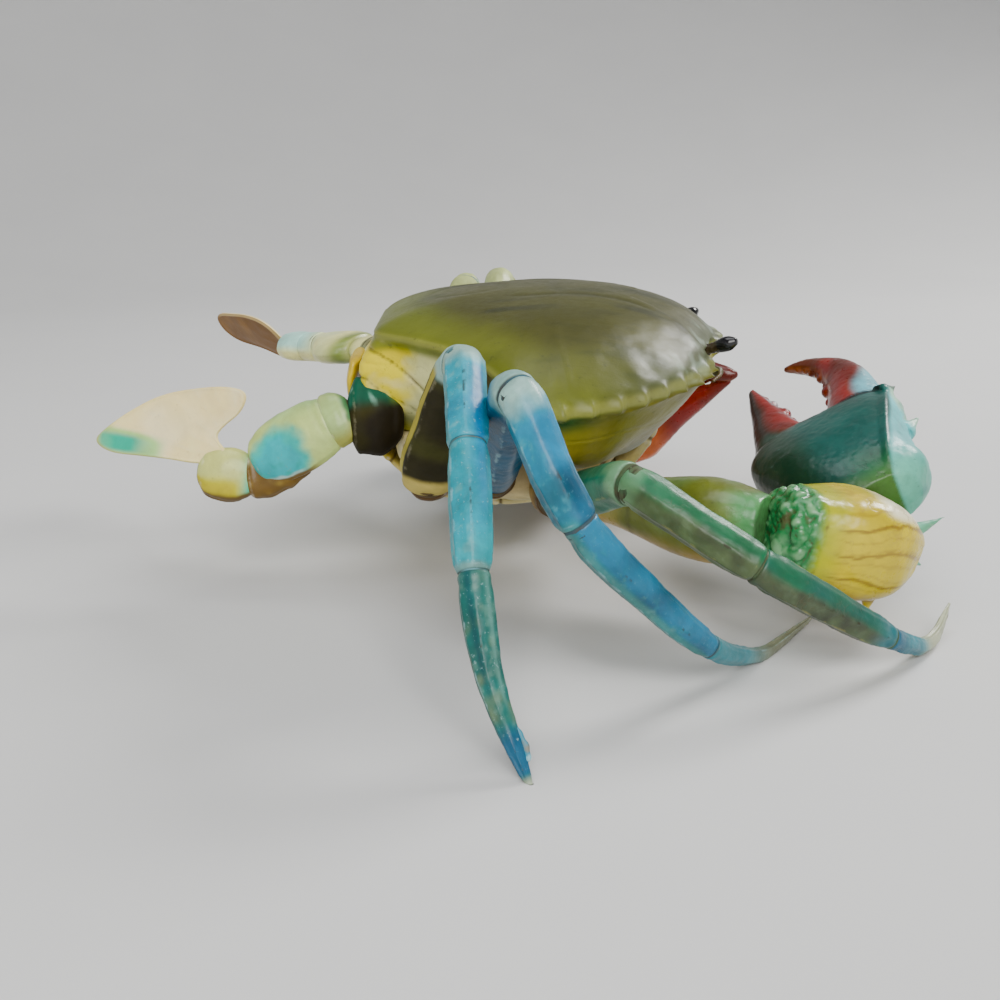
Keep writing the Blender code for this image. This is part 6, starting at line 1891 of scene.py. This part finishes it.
def stage():
    """A round floor that sweeps up into a low wall all round the crab."""
    side = [(FLOOR_RADIUS * share, 0.0) for share in (0.25, 0.5, 0.75)]
    for turn in np.linspace(0.0, math.pi / 2.0, 25):
        side.append((FLOOR_RADIUS + FLOOR_SWEEP * math.sin(turn), FLOOR_SWEEP * (1.0 - math.cos(turn))))
    side.append((FLOOR_RADIUS + FLOOR_SWEEP, WALL_HEIGHT))
    turns = [2.0 * math.pi * index / FLOOR_SIDES for index in range(FLOOR_SIDES)]
    points = [(r * math.cos(turn), r * math.sin(turn), z) for r, z in side for turn in turns]
    faces = []
    for ring in range(len(side) - 1):
        for index in range(FLOOR_SIDES):
            low, after = ring * FLOOR_SIDES, (index + 1) % FLOOR_SIDES
            high = low + FLOOR_SIDES
            faces.append((high + index, high + after, low + after, low + index))
    faces.append(tuple(range(FLOOR_SIDES)))
    mesh = bpy.data.meshes.new("floor")
    mesh.from_pydata(points, [], faces)
    mesh.shade_smooth()
    mesh.materials.append(floor_finish())
    floor = bpy.data.objects.new("floor", mesh)
    bpy.context.scene.collection.objects.link(floor)


# Soft lights, in metres and watts: place, aim, size, power and tint
LIGHTS = {
    "window_light": ((0.62, 0.42, 0.66), (0.02, 0.0, 0.03), (0.34, 0.30), 8.0, (1.0, 0.99, 0.96)),
    "top_light": ((-0.10, 0.0, 1.1), (0.0, 0.0, 0.03), (0.7, 0.7), 5.0, (0.98, 0.99, 1.0)),
    "front_light": ((0.10, -1.0, 0.75), (0.0, 0.0, 0.03), (0.8, 0.7), 14.0, (1.0, 0.99, 0.97)),
}


def softbox(name, place, target, size, power, tint):
    """A rectangular light that aims at its target."""
    light = bpy.data.lights.new(name, "AREA")
    light.shape = "RECTANGLE"
    light.size, light.size_y = size
    light.energy = power
    light.color = tint
    made = bpy.data.objects.new(name, light)
    made.location = Vector(place)
    made.rotation_euler = (Vector(target) - Vector(place)).to_track_quat("-Z", "Y").to_euler()
    bpy.context.scene.collection.objects.link(made)


def lights():
    """A faint cool sky and the soft lights."""
    world = bpy.data.worlds.new("studio")
    world.use_nodes = True
    sky = world.node_tree.nodes["Background"]
    sky.inputs["Color"].default_value = (0.93, 0.95, 1.0, 1.0)
    sky.inputs["Strength"].default_value = 0.20
    bpy.context.scene.world = world
    for name, settings in LIGHTS.items():
        softbox(name, *settings)


CAMERA_PLACE = (0.0, -300.0, 111.0)  # in the crab's own axes
CAMERA_PITCH, CAMERA_YAW = math.atan(360.0 / 1150.0), math.radians(1.0)
SENSOR_WIDTH, LENS = 36.0, 41.4


def camera():
    """The view from low on the crab's right, a little above it."""
    made = bpy.data.cameras.new("view")
    made.sensor_width = SENSOR_WIDTH
    made.lens = LENS
    made.clip_start = 0.01
    holder = bpy.data.objects.new("view", made)
    level = math.cos(CAMERA_PITCH)
    heading = Vector((math.sin(CAMERA_YAW) * level, math.cos(CAMERA_YAW) * level, -math.sin(CAMERA_PITCH)))
    holder.location = Vector(vec(*CAMERA_PLACE) * MM + ORIGIN)
    holder.rotation_euler = heading.to_track_quat("-Z", "Y").to_euler()
    bpy.context.scene.collection.objects.link(holder)
    bpy.context.scene.camera = holder


def build_crab():
    """Every piece of the crab."""
    carapace()
    thorax()
    abdomen()
    for side, sign in (("right", -1.0), ("left", 1.0)):
        mouthpart(side, sign)
        eye(side, sign)
        antenna(side, sign)
    for leg in RIGHT_LEGS:
        walking_leg(leg, "right", RIGHT_LEGS[leg])
        walking_leg(leg, "left", LEFT_LEGS[leg])
    flaky_fin(RIGHT_LEGS["leg_4"])
    paddle_leg("right", RIGHT_PADDLE)
    paddle_leg("left", LEFT_PADDLE)
    claw_limb("right", RIGHT_CLAW)
    claw_limb("left", LEFT_CLAW)


build_finishes()
stage()
lights()
camera()
build_crab()
